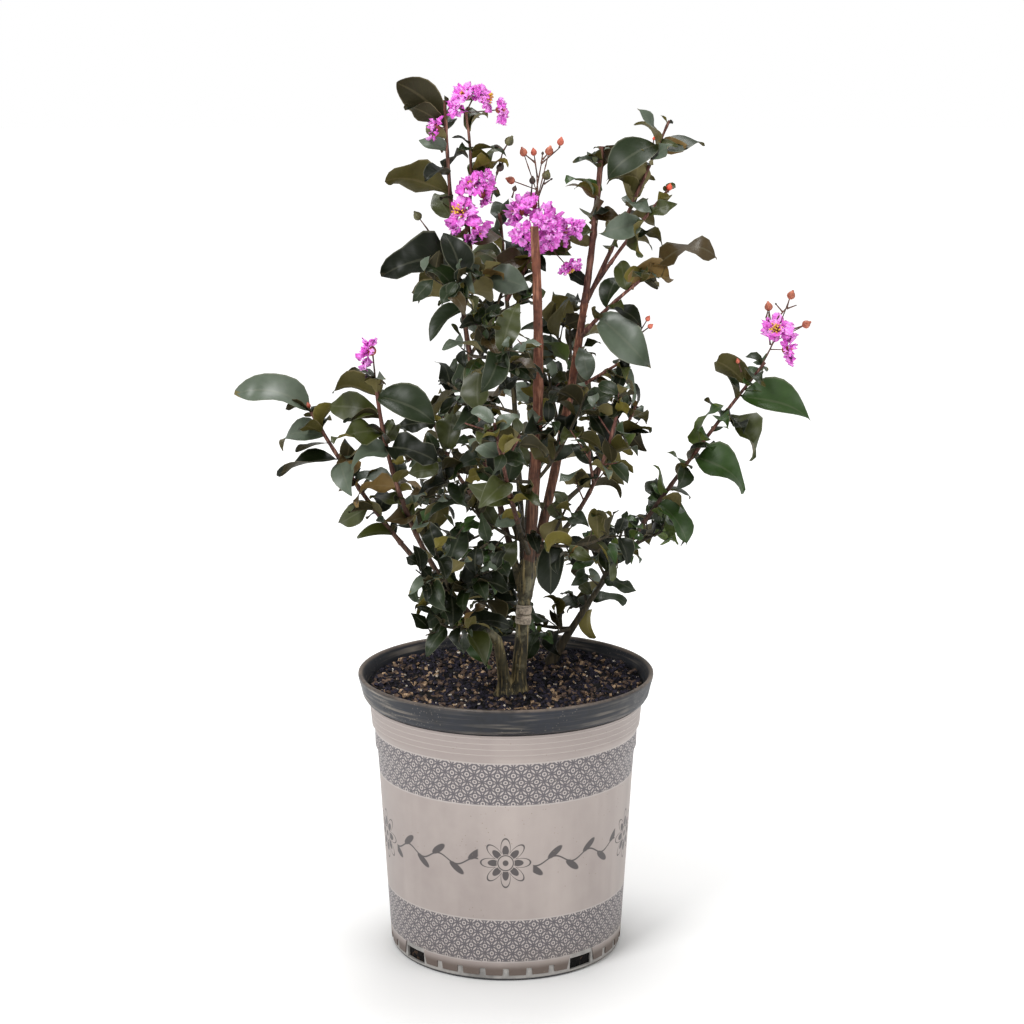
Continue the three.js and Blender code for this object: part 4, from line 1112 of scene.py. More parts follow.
def vineMask(x, y):
    # a low wave with small leaves on alternate sides
    wave = printLook["wave"]
    middle = times(calc("SINE", times(x, 2 * math.pi / wave)), 2.2)
    ahead = plus(x, printLook["around"])
    part = minus(calc("MODULO", ahead, wave / 2), wave / 4)
    odd = calc("GREATER_THAN", calc("MODULO", ahead, wave), wave / 2)
    rise = minus(times(y, calc("MULTIPLY_ADD", odd, -2.0, 1.0)), 4.4)
    a = plus(times(part, 0.8), times(rise, 0.6))
    b = minus(times(rise, 0.8), times(part, 0.6))
    span = lengthOf(calc("DIVIDE", a, 5.2), calc("DIVIDE", b, 1.9))
    return most(lineAt(y, middle, 0.3, 0.6), rangeMap(span, 0.9, 1.05, 1, 0))


def rosetteMask(x, y, size):
    # eight petals round a ring
    span = lengthOf(x, y)
    lobe = calc("ABSOLUTE", calc("COSINE", times(calc("ARCTAN2", y, x), 4.0)))
    edge = times(calc("MULTIPLY_ADD", lobe, 0.55, 0.42), size)
    inside = minus(span, times(edge, 0.72))
    fill = times(rangeMap(inside, -0.3, 0.3, 1, 0), rangeMap(lobe, 0.35, 0.5))
    fill = times(fill, rangeMap(span, size * 0.34, size * 0.36))
    heart = rangeMap(span, 2.2, 2.6, 1, 0)
    rim = lineAt(span, size * 0.3, 0.3, 0.6)
    return most(lineAt(span, edge, 0.5, 0.9), fill, heart, rim)


def sleevePrint():
    # printed skin: two lattice bands in grey-blue, and between them rosettes on a vine in dark ink
    look = Finish("sleevePrint", 0.5, 0.5, 14.0, 0.8)
    layout = put(look.tree, "ShaderNodeUVMap", uv_map="wrap").outputs[0]
    parts = put(look.tree, "ShaderNodeSeparateXYZ", {0: layout}).outputs
    x = times(minus(parts["X"], 0.5), printLook["around"])
    y = times(parts["Y"], potShape["height"])
    look.ground(printLook["deep"], printLook["ground"])
    look.layer(printLook["pale"], rangeMap(look.noise(1.0, 3.0, (30, 30, 3)), 0.45, 0.7, 0, 0.5))
    collar = rangeMap(y, *printLook["collar"], smooth=True)
    ridge = calc("PINGPONG", times(y, 1 / printLook["ridge"]), 0.5)
    ridge = times(rangeMap(ridge, 0.36, 0.5), collar)
    # the collar, from 186 to 190 mm up, is painted darker: painted shade
    look.layer(printLook["deep"], collar, 0.6)
    # the crests of the ridges are painted paler: a painted highlight; the ridges are also real relief in
    # the bump
    look.layer(printLook["rib"], ridge, 0.5)
    lattice = latticeMask(x, y, printLook["cell"])
    for low, high in (printLook["upper"], printLook["lower"]):
        look.layer(printLook["band"], between(y, low, high), 0.75)
        look.layer(printLook["ink"], times(between(y, low + 1, high - 1), lattice), 0.85)
    repeat, size = printLook["repeat"], printLook["rosetteSize"]
    rise = minus(y, printLook["frieze"])
    signed = minus(calc("MODULO", plus(x, 7.5 * repeat), repeat), repeat / 2)
    vine = vineMask(*(calc("DIVIDE", value, printLook["vineSize"]) for value in (x, rise)))
    vine = times(vine, between(rise, -14, 14))
    clear = rangeMap(calc("ABSOLUTE", signed), size + 1, size + 2)
    ink = most(times(vine, clear), rosetteMask(signed, rise, size))
    look.layer(printLook["dark"], ink, 0.88)
    look.layer(printLook["grime"], times(rangeMap(y, 5, 30, 0.55, 0), look.clouds(0.3, 0.8)))
    slotTop = potShape["slotTop"]
    # the lowest 16 mm of the sleeve, round the slots, is painted darker brown: painted shade
    slotShadeMask = rangeMap(y, slotTop - 2, slotTop + 5, 0.8, 0, smooth=True)
    look.layer(printLook["slotShade"], slotShadeMask)
    look.layer(printLook["dirt"], look.specks(260.0, 0.12, 0.44, 18.0), 0.6)
    height = plus(times(look.cloud["Height"], 0.25), ridge)
    return look.wire(height, 0.5, 0.0005, look.clouds(0, 1, 0.42, 0.58))


def cornerVertices(mesh):
    corner = np.empty(len(mesh.loops), int)
    mesh.loops.foreach_get("vertex_index", corner)
    return corner


def wrapMap(mesh, name, height):
    # x runs once round from the back, y is the height
    spots = np.array([vertex.co for vertex in mesh.vertices])
    corner = cornerVertices(mesh)
    turn = np.arctan2(spots[:, 0], -spots[:, 1]) / (2 * math.pi) + 0.5
    u, v = turn[corner], spots[corner, 2] / height
    for face in mesh.polygons:
        part = slice(face.loop_start, face.loop_start + face.loop_total)
        if u[part].max() - u[part].min() > 0.5:
            u[part] = np.where(u[part] < 0.5, u[part] + 1, u[part])
    mesh.uv_layers.new(name=name).data.foreach_set("uv", np.column_stack((u, v)).ravel())


def makeSleeve():
    outer = smoothProfile(potShape["side"], potShape["rows"])
    inner = [(r - potShape["skin"], z) for r, z in outer][::-1]
    sleeve = lathe("printedSleeve", outer + inner, potShape["facets"], True, [sleevePrint()])
    wide, slope, slot = potShape["drainWidth"], potShape["drainSlope"], potShape["slotWidth"]
    blocks = []
    for turn in (0, 90, 180, 270):
        drain = potShape["drainTurn"] + turn
        blocks.append((drain, wide + slope, wide - slope, 0, potShape["drainTop"]))
        for i in range(potShape["slots"]):
            azimuth = potShape["slotTurn"] + i * potShape["slotStep"] + turn
            blocks.append((azimuth, slot, slot - potShape["slotSlope"], 0, potShape["slotTop"]))
    sleeve = carve(sleeve, cutBlocks("sleeveCutter", blocks))
    wrapMap(sleeve.data, "wrap", potShape["height"] * mm)
    sharpEdges(sleeve, potShape["sleeveEdge"])
    return dress(sleeve, "sleeve", "pot_sleeve")


soilLook = {
    "rings": 44, "facets": 128, "radius": 112.2, "gap": 0.3, "drop": 1.5, "sink": 1.2, "edge": 12,
    "edgeShare": 0.3, "rearHeap": 4.0, "heapFrom": 20, "heapReach": 85, "seed": 11,
    "waves": [  # height in millimetres, then how fast it runs across and back, and where it starts
        (0.9, 0.11, 0.05, 0.4), (0.8, -0.06, 0.13, 1.9), (0.5, 0.21, -0.17, 2.7),
        (0.45, 0.33, 0.29, 0.9), (0.25, 0.9, 0.7, 1.3), (0.25, -0.8, 1.1, 2.2),
    ],
    "bedRadius": 109.5, "bedDrop": 0.9, "bedRings": 24, "bedFacets": 64,
    "strewn": [  # name, shape size, per square metre, smallest, largest, tilt, colours
        ("barkChips", (2.6, 1.4, 0.8), 14000.0, 0.4, 1.7, 0.8, "#2b2120", "#6e5a4c"),
        ("tanChips", (1.9, 1.2, 0.7), 6200.0, 0.4, 1.7, 0.9, "#634c38", "#c0a384"),
        ("darkCrumbs", (1.6, 1.3, 1.1), 46000.0, 0.5, 1.6, 1.2, "#050508", "#34303f"),
        ("paleBits", (1.0, 0.7, 0.6), 5600.0, 0.4, 1.6, 1.0, "#b09c86", "#ece5d8"),
        ("drySticks", (7.5, 0.5, 0.45), 1000.0, 0.5, 1.7, 0.22, "#4a3a2f", "#a88c6f"),
    ],
}


def soilMaterial():
    look = Finish("pottingMix", 0.95, 0.25, 160.0, 1.0)
    crumbs = put(look.tree, "ShaderNodeTexVoronoi", {"Vector": look.spot, "Scale": 330.0}).outputs
    tone = put(look.tree, "ShaderNodeSeparateColor", {0: crumbs["Color"]}).outputs[0]
    look.colour = blendColour(tone, paint("#070708"), paint("#1a1716"))
    look.layer("#4a3a2e", calc("GREATER_THAN", tone, 0.92))
    return look.wire(minus(look.cloud["Height"], crumbs["Distance"]), 1.0, 0.002)


def cloudedMaterial(name, deep, light, rough, gloss, scale, contrast, strength, depth, fine=6.0):
    # the plainest finish: two tones and the relief of their clouds
    look = Finish(name, rough, gloss, scale, contrast, fine)
    look.ground(deep, light)
    look.wire(look.cloud["Height"], strength, depth)
    return look


def chipShape(name, size, seed):
    # a broken flake with eight uneven corners
    draw = stream(seed)
    corners = []
    for z in (-1, 1):
        for x, y in ((-1, -1), (1, -1), (1, 1), (-1, 1)):
            wobble = [0.55 + 0.6 * draw() for _ in range(3)]
            corners.append([a * b * c * mm for a, b, c in zip((x, y, z), size, wobble)])
    faces = [(3, 2, 1, 0), (4, 5, 6, 7), (0, 1, 5, 4), (1, 2, 6, 5), (2, 3, 7, 6), (3, 0, 4, 7)]
    return solid(name, corners, faces, [], smooth=False)


def soilHeight(x, y):
    # small heaps and hollows, in millimetres
    rear = min(1, max(0, (y - soilLook["heapFrom"]) / soilLook["heapReach"]))
    waves = sum(s * math.sin(a * x + b * y + c) for s, a, b, c in soilLook["waves"])
    return soilLook["rearHeap"] * rear ** 1.5 + waves


def makeSoil():
    gap = soilLook["gap"]
    inset = potShape["skin"] + potShape["skinGap"] + potShape["wall"] + gap
    side = [(r - inset, z) for r, z in potShape["side"]]
    radius, rings = soilLook["radius"], soilLook["rings"]
    outline = [(side[0][0], potShape["floor"] + gap)] + side + [(radius, soilTop - soilLook["drop"])]
    outline += [(radius * (1 - k / rings), soilTop) for k in range(1, rings)]
    soil = lathe("pottingMix", outline, soilLook["facets"], False, [soilMaterial()])
    for vertex in soil.data.vertices:
        x, y, z = (v / mm for v in vertex.co)
        if z > soilTop - 1:
            edge = min(1, (radius - math.hypot(x, y)) / soilLook["edge"])
            vertex.co.z += (soilHeight(x, y) * mix(soilLook["edgeShare"], 1, edge) - soilLook["sink"]) * mm
    dress(soil, "potting_mix", "potting_mix")
    surface = soilSurface()
    for i, (name, size, density, smallest, largest, tilt, dark, light) in enumerate(soilLook["strewn"]):
        shape = chipShape(f"{name}Shape", size, soilLook["seed"] + i)
        bed = newObject(f"{name}Bed", surface.data.copy())
        material = cloudedMaterial(name, dark, light, 0.9, 0.3, 220.0, 1.6, 0.6, 0.0006).material
        addTree(bed, scatterTree, {
            "Shape": shape, "Density": density, "Smallest": smallest, "Largest": largest, "Tilt": tilt,
            "Seed": 3 + i, "Material": material})
        made = plainCopy(bed, name)
        bpy.data.objects.remove(shape)
        dress(made, "potting_mix")
    bpy.data.objects.remove(surface)


def soilSurface():
    # the bed that loose bits lie on, a little inside the rim
    rings, facets = soilLook["bedRings"], soilLook["bedFacets"]

    def onBed(x, y):
        return (x * mm, y * mm, (soilTop - soilLook["bedDrop"] + soilHeight(x, y)) * mm)

    points, faces = [onBed(0, 0)], []
    for k in range(1, rings + 1):
        radius = soilLook["bedRadius"] * k / rings
        for i in range(facets):
            a = 2 * math.pi * i / facets
            points.append(onBed(radius * math.cos(a), radius * math.sin(a)))
    for i in range(facets):
        j = (i + 1) % facets
        faces.append((0, 1 + i, 1 + j))
        for k in range(rings - 1):
            a, b = 1 + k * facets, 1 + (k + 1) * facets
            faces.append((a + i, b + i, b + j, a + j))
    return solid("soilBed", points, faces, [])


makePot()
makeSleeve()
makeSoil()
print("pot is filled")


barkLook = {
    "voxel": 0.0011, "collar": 1.6, "collarReach": 34, "collarLeast": 0.05, "flare": 3.0,
    "flareEnd": 0.22, "sunk": -0.06, "overlap": 0.02, "fineStep": 4, "step": 5,
    "shadeBelow": (0.35, 0.45), "shadeTone": "#2a2419", "shadeShare": 0.62,
    "lichen": 0.45, "crust": "#8f8a6f", "specks": "#b9b5a2",
    "relax": {"factor": 0.5, "iterations": 6},
    "trunkRelief": {"Relief": 0.0022, "Scale": 150.0, "Stretch": 0.25},
}
trunkStems = ("main", "left")


def barkMaterial(name, deep, middle, bright, lichen=0.0):
    # thin bark in long flakes, painted darker low down as painted shade, or with pale specks where lichen
    # has come
    look = Finish(name, 0.72, 0.35, 60.0, 1.3, 5.0)
    flakes = look.noise(1.0, 5.0, (520, 520, 46))
    look.ground(deep, middle)
    look.layer(bright, rangeMap(flakes, 0.5, 0.66))
    if lichen:
        look.layer(barkLook["crust"], rangeMap(look.noise(75.0, 4.0), 0.55, 0.65), lichen)
        look.layer(barkLook["specks"], look.specks(480.0, 0.2, 0.42, 90.0), lichen)
    else:
        # below 0.35 to 0.45 m the wood is painted darker: painted shade
        lowShade = rangeMap(look.axis("Z"), *barkLook["shadeBelow"], barkLook["shadeShare"], 0, smooth=True)
        look.layer(barkLook["shadeTone"], lowShade)
    height = plus(flakes, times(look.cloud["Height"], 0.5))
    return look.wire(height, 0.7, 0.0008, rangeMap(flakes, 0.3, 0.7, 0.6, 0.85))


def flareAt(t):
    return barkLook["flare"] * max(0.0, 1 - t / barkLook["flareEnd"]) ** 2


def makeTrunk():
    # the two fused stems and the collars of their forks, joined into one skin
    step = barkLook["fineStep"]
    paths = [stemPath(stems[name], barkLook["sunk"], 1, step, flareAt) for name in trunkStems]
    for name, plan in limbPlans.items():
        if plan["foot"] in [(trunk, 1) for trunk in trunkStems]:
            stop = barkLook["collarReach"] / stems[name].length

            def collar(t, stop=stop):
                if t >= stop:
                    return 0.0
                return barkLook["collar"] * (1 - t / stop) ** 0.6 + barkLook["collarLeast"]
            paths.append(stemPath(stems[name], 0, stop, step, collar))
    material = barkMaterial("trunkBark", "#1c1b13", "#4c452e", "#8b7b55", barkLook["lichen"])
    raw = sweep("trunkRaw", paths, material, "trunk")
    modify(raw, "REMESH", mode="VOXEL", voxel_size=barkLook["voxel"], use_smooth_shade=True)
    modify(raw, "SMOOTH", **barkLook["relax"])
    trunk = plainCopy(raw, "trunkBark")
    addTree(trunk, reliefTree, barkLook["trunkRelief"])
    trunk = plainCopy(trunk, "trunkSkin")
    trunk.data.materials.clear()
    trunk.data.materials.append(material)
    trunk.data.polygons.foreach_set("material_index", [0] * len(trunk.data.polygons))
    dress(trunk, "bark", "trunk")


# Which boughs share a bark: old brown canes, reddish canes and thin young wood.
boughKinds = {
    "oldCanes": (("centre", "right_mid"), ("#3d2118", "#734331", "#a06f58")),
    "redCanes": (("left_low", "left_front", "left_mid", "right_top", "right_upper", "right_outer"),
                 ("#33201b", "#5c3a31", "#86604f")),
    "greyCanes": (("mid_back", "right_low", "right_front", "back", "front", "back_left", "back_right"),
                  ("#26241a", "#48402e", "#6b5f46")),
}


def makeBoughs():
    for name, (members, colours) in boughKinds.items():
        paths = []
        for member in members:
            plan = limbPlans[member]
            stop = min(1.0, plan["bare"] + barkLook["overlap"])
            start, extra = (0, None) if isBranch(plan) else (barkLook["sunk"], flareAt)
            paths.append(stemPath(stems[member], start, stop, barkLook["step"], extra))
        made = sweep(name, paths, barkMaterial(f"{name}Bark", *colours), "cane")
        dress(made, "bark", *[f"{member}_bough" for member in members])


twigTones = {
    "redTwigs": ("#3c211c", "#683f36", "#946b5c"), "greenTwigs": ("#23241a", "#443c2b", "#655640"),
}


def makeShoots():
    # leafy ends and side twigs, by the colour of their bark
    groups = {kind: [] for kind in twigTones}
    for name, plant in plants.items():
        kind = "redTwigs" if name in endRows else "greenTwigs"
        groups[kind] += [stemPath(stem, 0, 1, barkLook["step"])
                         for stem in plant["shoots"] + plant["fineTwigs"]]
    for name, paths in groups.items():
        dress(sweep(name, paths, barkMaterial(f"{name}Bark", *twigTones[name]), "twig"), "foliage")


tapeLook = {
    "from": 0.72, "to": 0.92, "gap": 0.3, "thickness": 0.9, "sides": 40, "rows": 12, "wraps": 2,
    "step": 0.52, "drift": 0.012, "endDrift": 0.4, "lag": 1.5, "bulge": 0.5, "round": 0.3,
    "wrinkle": 0.12, "folds": 3, "slant": 5, "least": 0.35, "inside": 0.6, "edgeAngle": 50,
    "deep": "#685d50", "light": "#c1b29f", "creaseShade": "#453c33",
}


def makeTape():
    # two turns of soft tape, one lapped over the other
    look = Finish("softTape", 0.62, 0.4, 120.0, 1.2)
    look.ground(tapeLook["deep"], tapeLook["light"])
    creases = look.noise(1.0, 4.0, (120, 120, 700))
    # the creases are painted darker: painted shade
    look.layer(tapeLook["creaseShade"], rangeMap(creases, 0.52, 0.68))
    material = look.wire(creases, 0.6, 0.0006)
    stem = stems["main"]
    low, high, step = tapeLook["from"], tapeLook["to"], tapeLook["step"]
    rows, sides = tapeLook["rows"], tapeLook["sides"]
    turns = [2 * math.pi * i / sides for i in range(sides)]
    points, faces = [], []

    def addPoint(t, turn, radius):
        points.append((stem.at(t) + outward(stem.heading(t), turn) * (stem.radius(t) + radius)) * mm)

    for wrap in range(tapeLook["wraps"]):
        a, b = mix(low, high, wrap * step), mix(low, high, min(1, 1 - step + wrap * step))
        base = len(points)
        for k in range(rows + 1):
            rise = k / rows
            drift = tapeLook["drift"] * (1 if 0 < k < rows else tapeLook["endDrift"])
            for turn in turns:
                bulge = tapeLook["bulge"] * math.sin(math.pi * rise) ** tapeLook["round"]
                fold = math.sin(tapeLook["folds"] * turn + tapeLook["slant"] * rise + wrap)
                swell = tapeLook["least"] + bulge + tapeLook["wrinkle"] * fold
                addPoint(mix(a, b, rise) + drift * math.sin(turn + tapeLook["lag"] * wrap), turn,
                         tapeLook["gap"] + tapeLook["thickness"] * swell)
        for t in (a, b):
            for turn in turns:
                addPoint(t, turn, -tapeLook["inside"])
        rings = [base + k * sides for k in range(rows + 3)]
        first, last, top = rings[-2], rings[-1], rings[rows]
        for i in range(sides):
            j = (i + 1) % sides
            faces += [(p + i, p + j, q + j, q + i) for p, q in zip(rings[:rows], rings[1:])]
            faces += [(p + i, p + j, q + j, q + i) for p, q in ((first, base), (top, last), (last, first))]
    tape = solid("stemTape", points, faces, [material])
    sharpEdges(tape, tapeLook["edgeAngle"])
    dress(tape, "tape", "stem_tape")


makeTrunk()
makeBoughs()
makeShoots()
makeTape()
print("wood is up")


# Stations of a leaf lie along it, from 0 at its root to 1 at its tip.
leafShape = {
    "stations": {"large": (0.05, 0.12, 0.21, 0.31, 0.42, 0.53, 0.64, 0.74, 0.83, 0.91, 0.965),
                 "small": (0.06, 0.17, 0.33, 0.54, 0.75, 0.91)},
    "width": {"large": 0.51, "small": 0.54}, "largeFrom": 24, "petiole": 0.03, "thickness": 0.34,
    "fold": (0.2, 1.0), "cup": (-0.5, 0.9), "wave": (0.05, 0.24), "cycles": (0.9, 2.2), "twist": 1.4,
    "curl": (0.0, 0.3), "seedShift": 203, "rootThick": 1.2, "rootFade": 18, "stalk": 0.04,
    "forward": 0.86, "broad": 0.76, "point": 0.42, "pointFrom": 0.9, "offBeat": 1.6, "curlFrom": 0.5,
    "flatter": 0.5, "twistFrom": 0.2,
}

# Upper and under colours of each tone, and how glossy its upper side is.
leafTones = {
    "leavesDark": ("#0d1405", "#2a260f", 0.22),
    "leavesDeep": ("#1b270e", "#433e17", 0.31),
    # the slate tone's upper side is a paler grey-green that stands partly for the leaves' sheen: painted
    # sheen
    "leavesSlate": ("#4e5949", "#69613b", 0.55),
    "leavesOlive": ("#343a10", "#625a22", 0.45),
    "leavesBronze": ("#3c2f13", "#6a542c", 0.42),
    "leavesYoung": ("#2a4216", "#4d5d26", 0.42),
}

# Shares of each tone, in the order above, by where a mass grows.
toneShares = {
    "crown": (0.25, 0.23, 0.28, 0.19, 0.04, 0.01),
    "tips": (0.12, 0.15, 0.34, 0.27, 0.11, 0.01),
    "bush": (0.40, 0.29, 0.14, 0.14, 0.01, 0.02),
    "side": (0.30, 0.29, 0.10, 0.03, 0.00, 0.28),
}
toneOf = {
    "tips": ("right_top", "right_upper", "right_mid", "right_outer", "left_high", "left_bloom"),
    "side": ("side_front", "side_rear", "side_inner", "right_low", "low_right", "low_rear_right"),
    "crown": ("left_low", "left_front", "left_mid", "mid_high", "mid_back", "mid_right", "mid_front",
              "mid_inner", "mid_left"),
}


def toneGroup(name):
    return next((kind for kind, names in toneOf.items() if name in names), "bush")


def halfWidth(u):
    # a broad oval that draws in to a short stalk and a fine point, in leaf widths
    stalk = leafShape["stalk"]
    s = max(0.0, (u - stalk) / (1 - stalk))
    if s >= 1:
        return 0.0
    oval = math.sin(math.pi * s ** leafShape["forward"]) ** leafShape["broad"]
    body = 0.5 * oval * (1 - leafShape["point"] * s ** 4)
    return max(body, leafShape["petiole"]) if u < leafShape["pointFrom"] else body


def leafTemplate(stations):
    # faces and flat places of one leaf: two skins of two halves each, which share their edge
    places = [(0.0, 0.0, 0), (1.0, 0.0, 0)]
    left, right, rib = [], [], {1: [], -1: []}
    for u in stations:
        for side, h, skin in ((left, -1, 0), (right, 1, 0), (rib[1], 0, 1), (rib[-1], 0, -1)):
            side.append(len(places))
            places.append((u, h, skin))
    faces, slots = [], []
    for skin in (1, -1):
        for a, b in ((left, rib[skin]), (rib[skin], right)):
            half = [(0, a[0], b[0]), (a[-1], 1, b[-1])]
            half += [(a[i], a[i + 1], b[i + 1], b[i]) for i in range(len(stations) - 1)]
            faces += half if skin == 1 else [face[:1] + face[:0:-1] for face in half]
            slots += [0 if skin == 1 else 1] * len(half)
    return np.array(places), faces, slots, {0, 1, *left, *right}


templates = {size: leafTemplate(stations) for size, stations in leafShape["stations"].items()}


def bladePoints(leaf, size, draw):
    # the template's places bent, folded, waved and twisted along the leaf's own arch
    u, h, skin = templates[size][0].T
    width = leafShape["width"][size] * leaf["length"]
    half = np.array([halfWidth(x) for x in u])
    fold, wave, curl, count = (mix(*leafShape[key], draw()) for key in ("fold", "wave", "curl", "cycles"))
    cup = mix(*leafShape["cup"], draw())
    phase = fullTurn * draw()
    twist = mix(-leafShape["twist"], leafShape["twist"], draw())
    out = h * half * width
    rise = fold * np.abs(out) * (1 - leafShape["flatter"] * u) - cup * out ** 2 / width
    beat = fullTurn * count * u + phase + leafShape["offBeat"] * np.sign(h)
    rise += wave * width * np.sin(beat) * np.abs(h)
    rise -= curl * leaf["length"] * np.clip(u - leafShape["curlFrom"], 0, 1) ** 2 * 4
    spin = twist * (u - leafShape["twistFrom"])
    side = out * np.cos(spin) - rise * np.sin(spin)
    lift = out * np.sin(spin) + rise * np.cos(spin)
    thick = leafShape["thickness"] * (1 + leafShape["rootThick"] * np.exp(-leafShape["rootFade"] * u)) / 2
    return leafPoints(leaf, u, side / (clearRule["width"] * leaf["length"]), lift + skin * thick)


def leafMaterial(name, hexCode, look):
    # one plain tone with faint veins and a thin paler margin, partly the leaf's own pale edge and partly a
    # painted highlight along its rim
    made = Finish(name, look["rough"], look["gloss"], 40.0, 0.7)
    layout = put(made.tree, "ShaderNodeUVMap", uv_map="blade").outputs[0]
    veins = useGroup(made.tree, leafVeins, {"Vector": layout})
    made.colour = blendColour(made.cloud["Value"], paint(hexCode, 0.8), paint(hexCode, 1.25))
    for part, share in (("Veins", 0.02), ("Rib", 0.14), ("Margin", 0.4)):
        made.layer(look["rib"], veins[part], share)
    rough = made.clouds(0, 1, look["rough"] - 0.05, look["rough"] + 0.08)
    return made.wire(veins["Height"], look["relief"], 0.0004, rough)


leafSides = {
    "Upper": {"rough": 0.41, "rib": "#80806c", "relief": 0.18},
    "Under": {"rough": 0.58, "rib": "#8e8060", "relief": 0.25, "gloss": 0.28},
}


def makeLeaves():
    shares = {kind: np.cumsum(values) for kind, values in toneShares.items()}
    tones = list(leafTones)
    heap = {tone: {"points": [], "faces": [], "slots": [], "map": [], "edge": [], "masses": set()}
            for tone in tones}
    for name, plant in plants.items():
        draw = stream(massPlans[name]["seed"] + leafShape["seedShift"])
        kind = toneGroup(name)
        for leaf in plant["leaves"] + plant["fineLeaves"]:
            pick = draw() * shares[kind][-1]
            tone = tones[int(np.searchsorted(shares[kind], pick))]
            size = "large" if leaf["length"] > leafShape["largeFrom"] else "small"
            places, faces, slots, edge = templates[size]
            part = heap[tone]
            base = sum(len(p) for p in part["points"])
            part["points"].append(bladePoints(leaf, size, draw) * mm)
            part["faces"] += [tuple(base + k for k in face) for face in faces]
            part["slots"] += slots
            part["map"].append(np.column_stack((0.5 + places[:, 1] * 0.5, places[:, 0])))
            part["edge"].append(np.array([k in edge for k in range(len(places))]))
            part["masses"].add(f"{name}_leaves")
    for tone, part in heap.items():
        upper, under, gloss = leafTones[tone]
        materials = [leafMaterial(f"{tone}Upper", upper, {**leafSides["Upper"], "gloss": gloss}),
                     leafMaterial(f"{tone}Under", under, leafSides["Under"])]
        mesh = meshFrom(tone, np.concatenate(part["points"]), part["faces"], materials, part["slots"])
        spots = np.concatenate(part["map"])[cornerVertices(mesh)]
        mesh.uv_layers.new(name="blade").data.foreach_set("uv", spots.ravel())
        edges = np.array([edge.vertices[:] for edge in mesh.edges])
        onEdge = np.concatenate(part["edge"])[edges].all(axis=1)
        mesh.attributes.new("sharp_edge", "BOOLEAN", "EDGE").data.foreach_set("value", onEdge)
        dress(newObject(tone, mesh), "foliage", *sorted(part["masses"]))


makeLeaves()
print("leaves are out")


flowerShape = {
    "rings": ((8, 1.15, (-0.4, 0.7)), (6, 0.9, (0.4, 1.3))),  # petals, size, tilt
    "rows": (0.0, 0.4, 0.6, 0.82, 1.0), "halves": (0.03, 0.05, 0.3, 0.33, 0.2), "columns": 6,
    "round": 0.12, "frill": 0.42, "frills": 7, "ruffle": 0.55, "flatter": 0.35, "stray": 0.4,
    "vary": (0.7, 1.25), "thickness": 0.2, "slim": 0.45, "stalkStep": 4, "seed": 301, "seedStep": 13,
    "open": (2, 5, 9, 16), "stamenSize": (0.6, 1.2),
}
petalTones = {"petalsBright": ("#ffb6f7", "#f07ee6"), "petalsDeep": ("#fb8cef", "#cc42bb")}


def petalMaterial(name, light, deep):
    look = cloudedMaterial(name, deep, light, 0.55, 0.3, 260.0, 1.5, 0.6, 0.0005, 3.0)
    look.shader.inputs["Subsurface Weight"].default_value = 0.3
    look.shader.inputs["Subsurface Radius"].default_value = (0.002, 0.0008, 0.0016)
    return look.material


def petalPoints(head, turn, size, tilt, draw):
    # a crinkled round blade on a narrow claw, from the flower's middle outwards
    way = head["way"]
    level = unit(cross(way, up)) if abs(way[2]) < 0.95 else vec((1, 0, 0))
    out = level * math.cos(turn) + cross(way, level) * math.sin(turn)
    side = cross(way, out)
    phase = [fullTurn * draw() for _ in range(3)]
    points = []
    for s, half in zip(flowerShape["rows"], flowerShape["halves"]):
        for h in np.linspace(-1, 1, flowerShape["columns"]):
            frill = flowerShape["frill"] * half * math.sin(flowerShape["frills"] * h + phase[0])
            along = s * (1 - flowerShape["round"] * h * h) + frill
            wave = math.sin(6 * h + phase[1] + 5 * s) + 0.6 * math.sin(11 * s + 3 * h + phase[2])
            lift = (along * math.sin(tilt) * (1 - flowerShape["flatter"] * s)
                    + flowerShape["ruffle"] * half * wave)
            offset = out * along * math.cos(tilt) + side * half * h + way * lift
            points.append((head["point"] + size * offset) * mm)
    return points


def makePetals(heads):
    rows, columns = len(flowerShape["rows"]), flowerShape["columns"]
    grid = [(i * columns + j, (i + 1) * columns + j, (i + 1) * columns + j + 1, i * columns + j + 1)
            for i in range(rows - 1) for j in range(columns - 1)]
    for k, (name, (light, deep)) in enumerate(petalTones.items()):
        points, faces = [], []
        for n, head in enumerate(heads):
            draw = stream(flowerShape["seed"] + flowerShape["seedStep"] * n + k)
            for count, swell, tilts in flowerShape["rings"]:
                shift = 0.5 if count < 8 else 0
                for p in range(k, count, 2):
                    turn = fullTurn * (p + shift) / count + flowerShape["stray"] * draw()
                    size = head["radius"] * swell * mix(*flowerShape["vary"], draw())
                    base = len(points)
                    points += petalPoints(head, turn, size, mix(*tilts, draw()), draw)
                    faces += [tuple(base + c for c in face) for face in grid]
        raw = solid(f"{name}Flat", points, faces, [petalMaterial(name, light, deep)])
        modify(raw, "SOLIDIFY", thickness=flowerShape["thickness"] * mm, offset=0)
        dress(plainCopy(raw, name), "foliage")


def turnedShape(name, outline, depth):
    # a small body of revolution with six soft lobes, of unit size
    sides = 12
    points, faces = [(0, 0, outline[0][1])], []
    for radius, z in outline[1:-1]:
        for i in range(sides):
            a = 2 * math.pi * i / sides
            r = radius * (1 + depth * math.cos(6 * a))
            points.append((r * math.cos(a), r * math.sin(a), z))
    points.append((0, 0, outline[-1][1]))
    rings, top = len(outline) - 2, len(points) - 1
    for i in range(sides):
        j = (i + 1) % sides
        faces.append((0, 1 + j, 1 + i))
        faces.append((top, 1 + (rings - 1) * sides + i, 1 + (rings - 1) * sides + j))
        for k in range(rings - 1):
            a, b = 1 + k * sides, 1 + (k + 1) * sides
            faces.append((a + i, a + j, b + j, b + i))
    return solid(name, points, faces, [])


def tinyMaterial(name, deep, light, rough=0.5):
    return cloudedMaterial(name, deep, light, rough, 0.4, 180.0, 1.6, 0.3, 0.0003).material


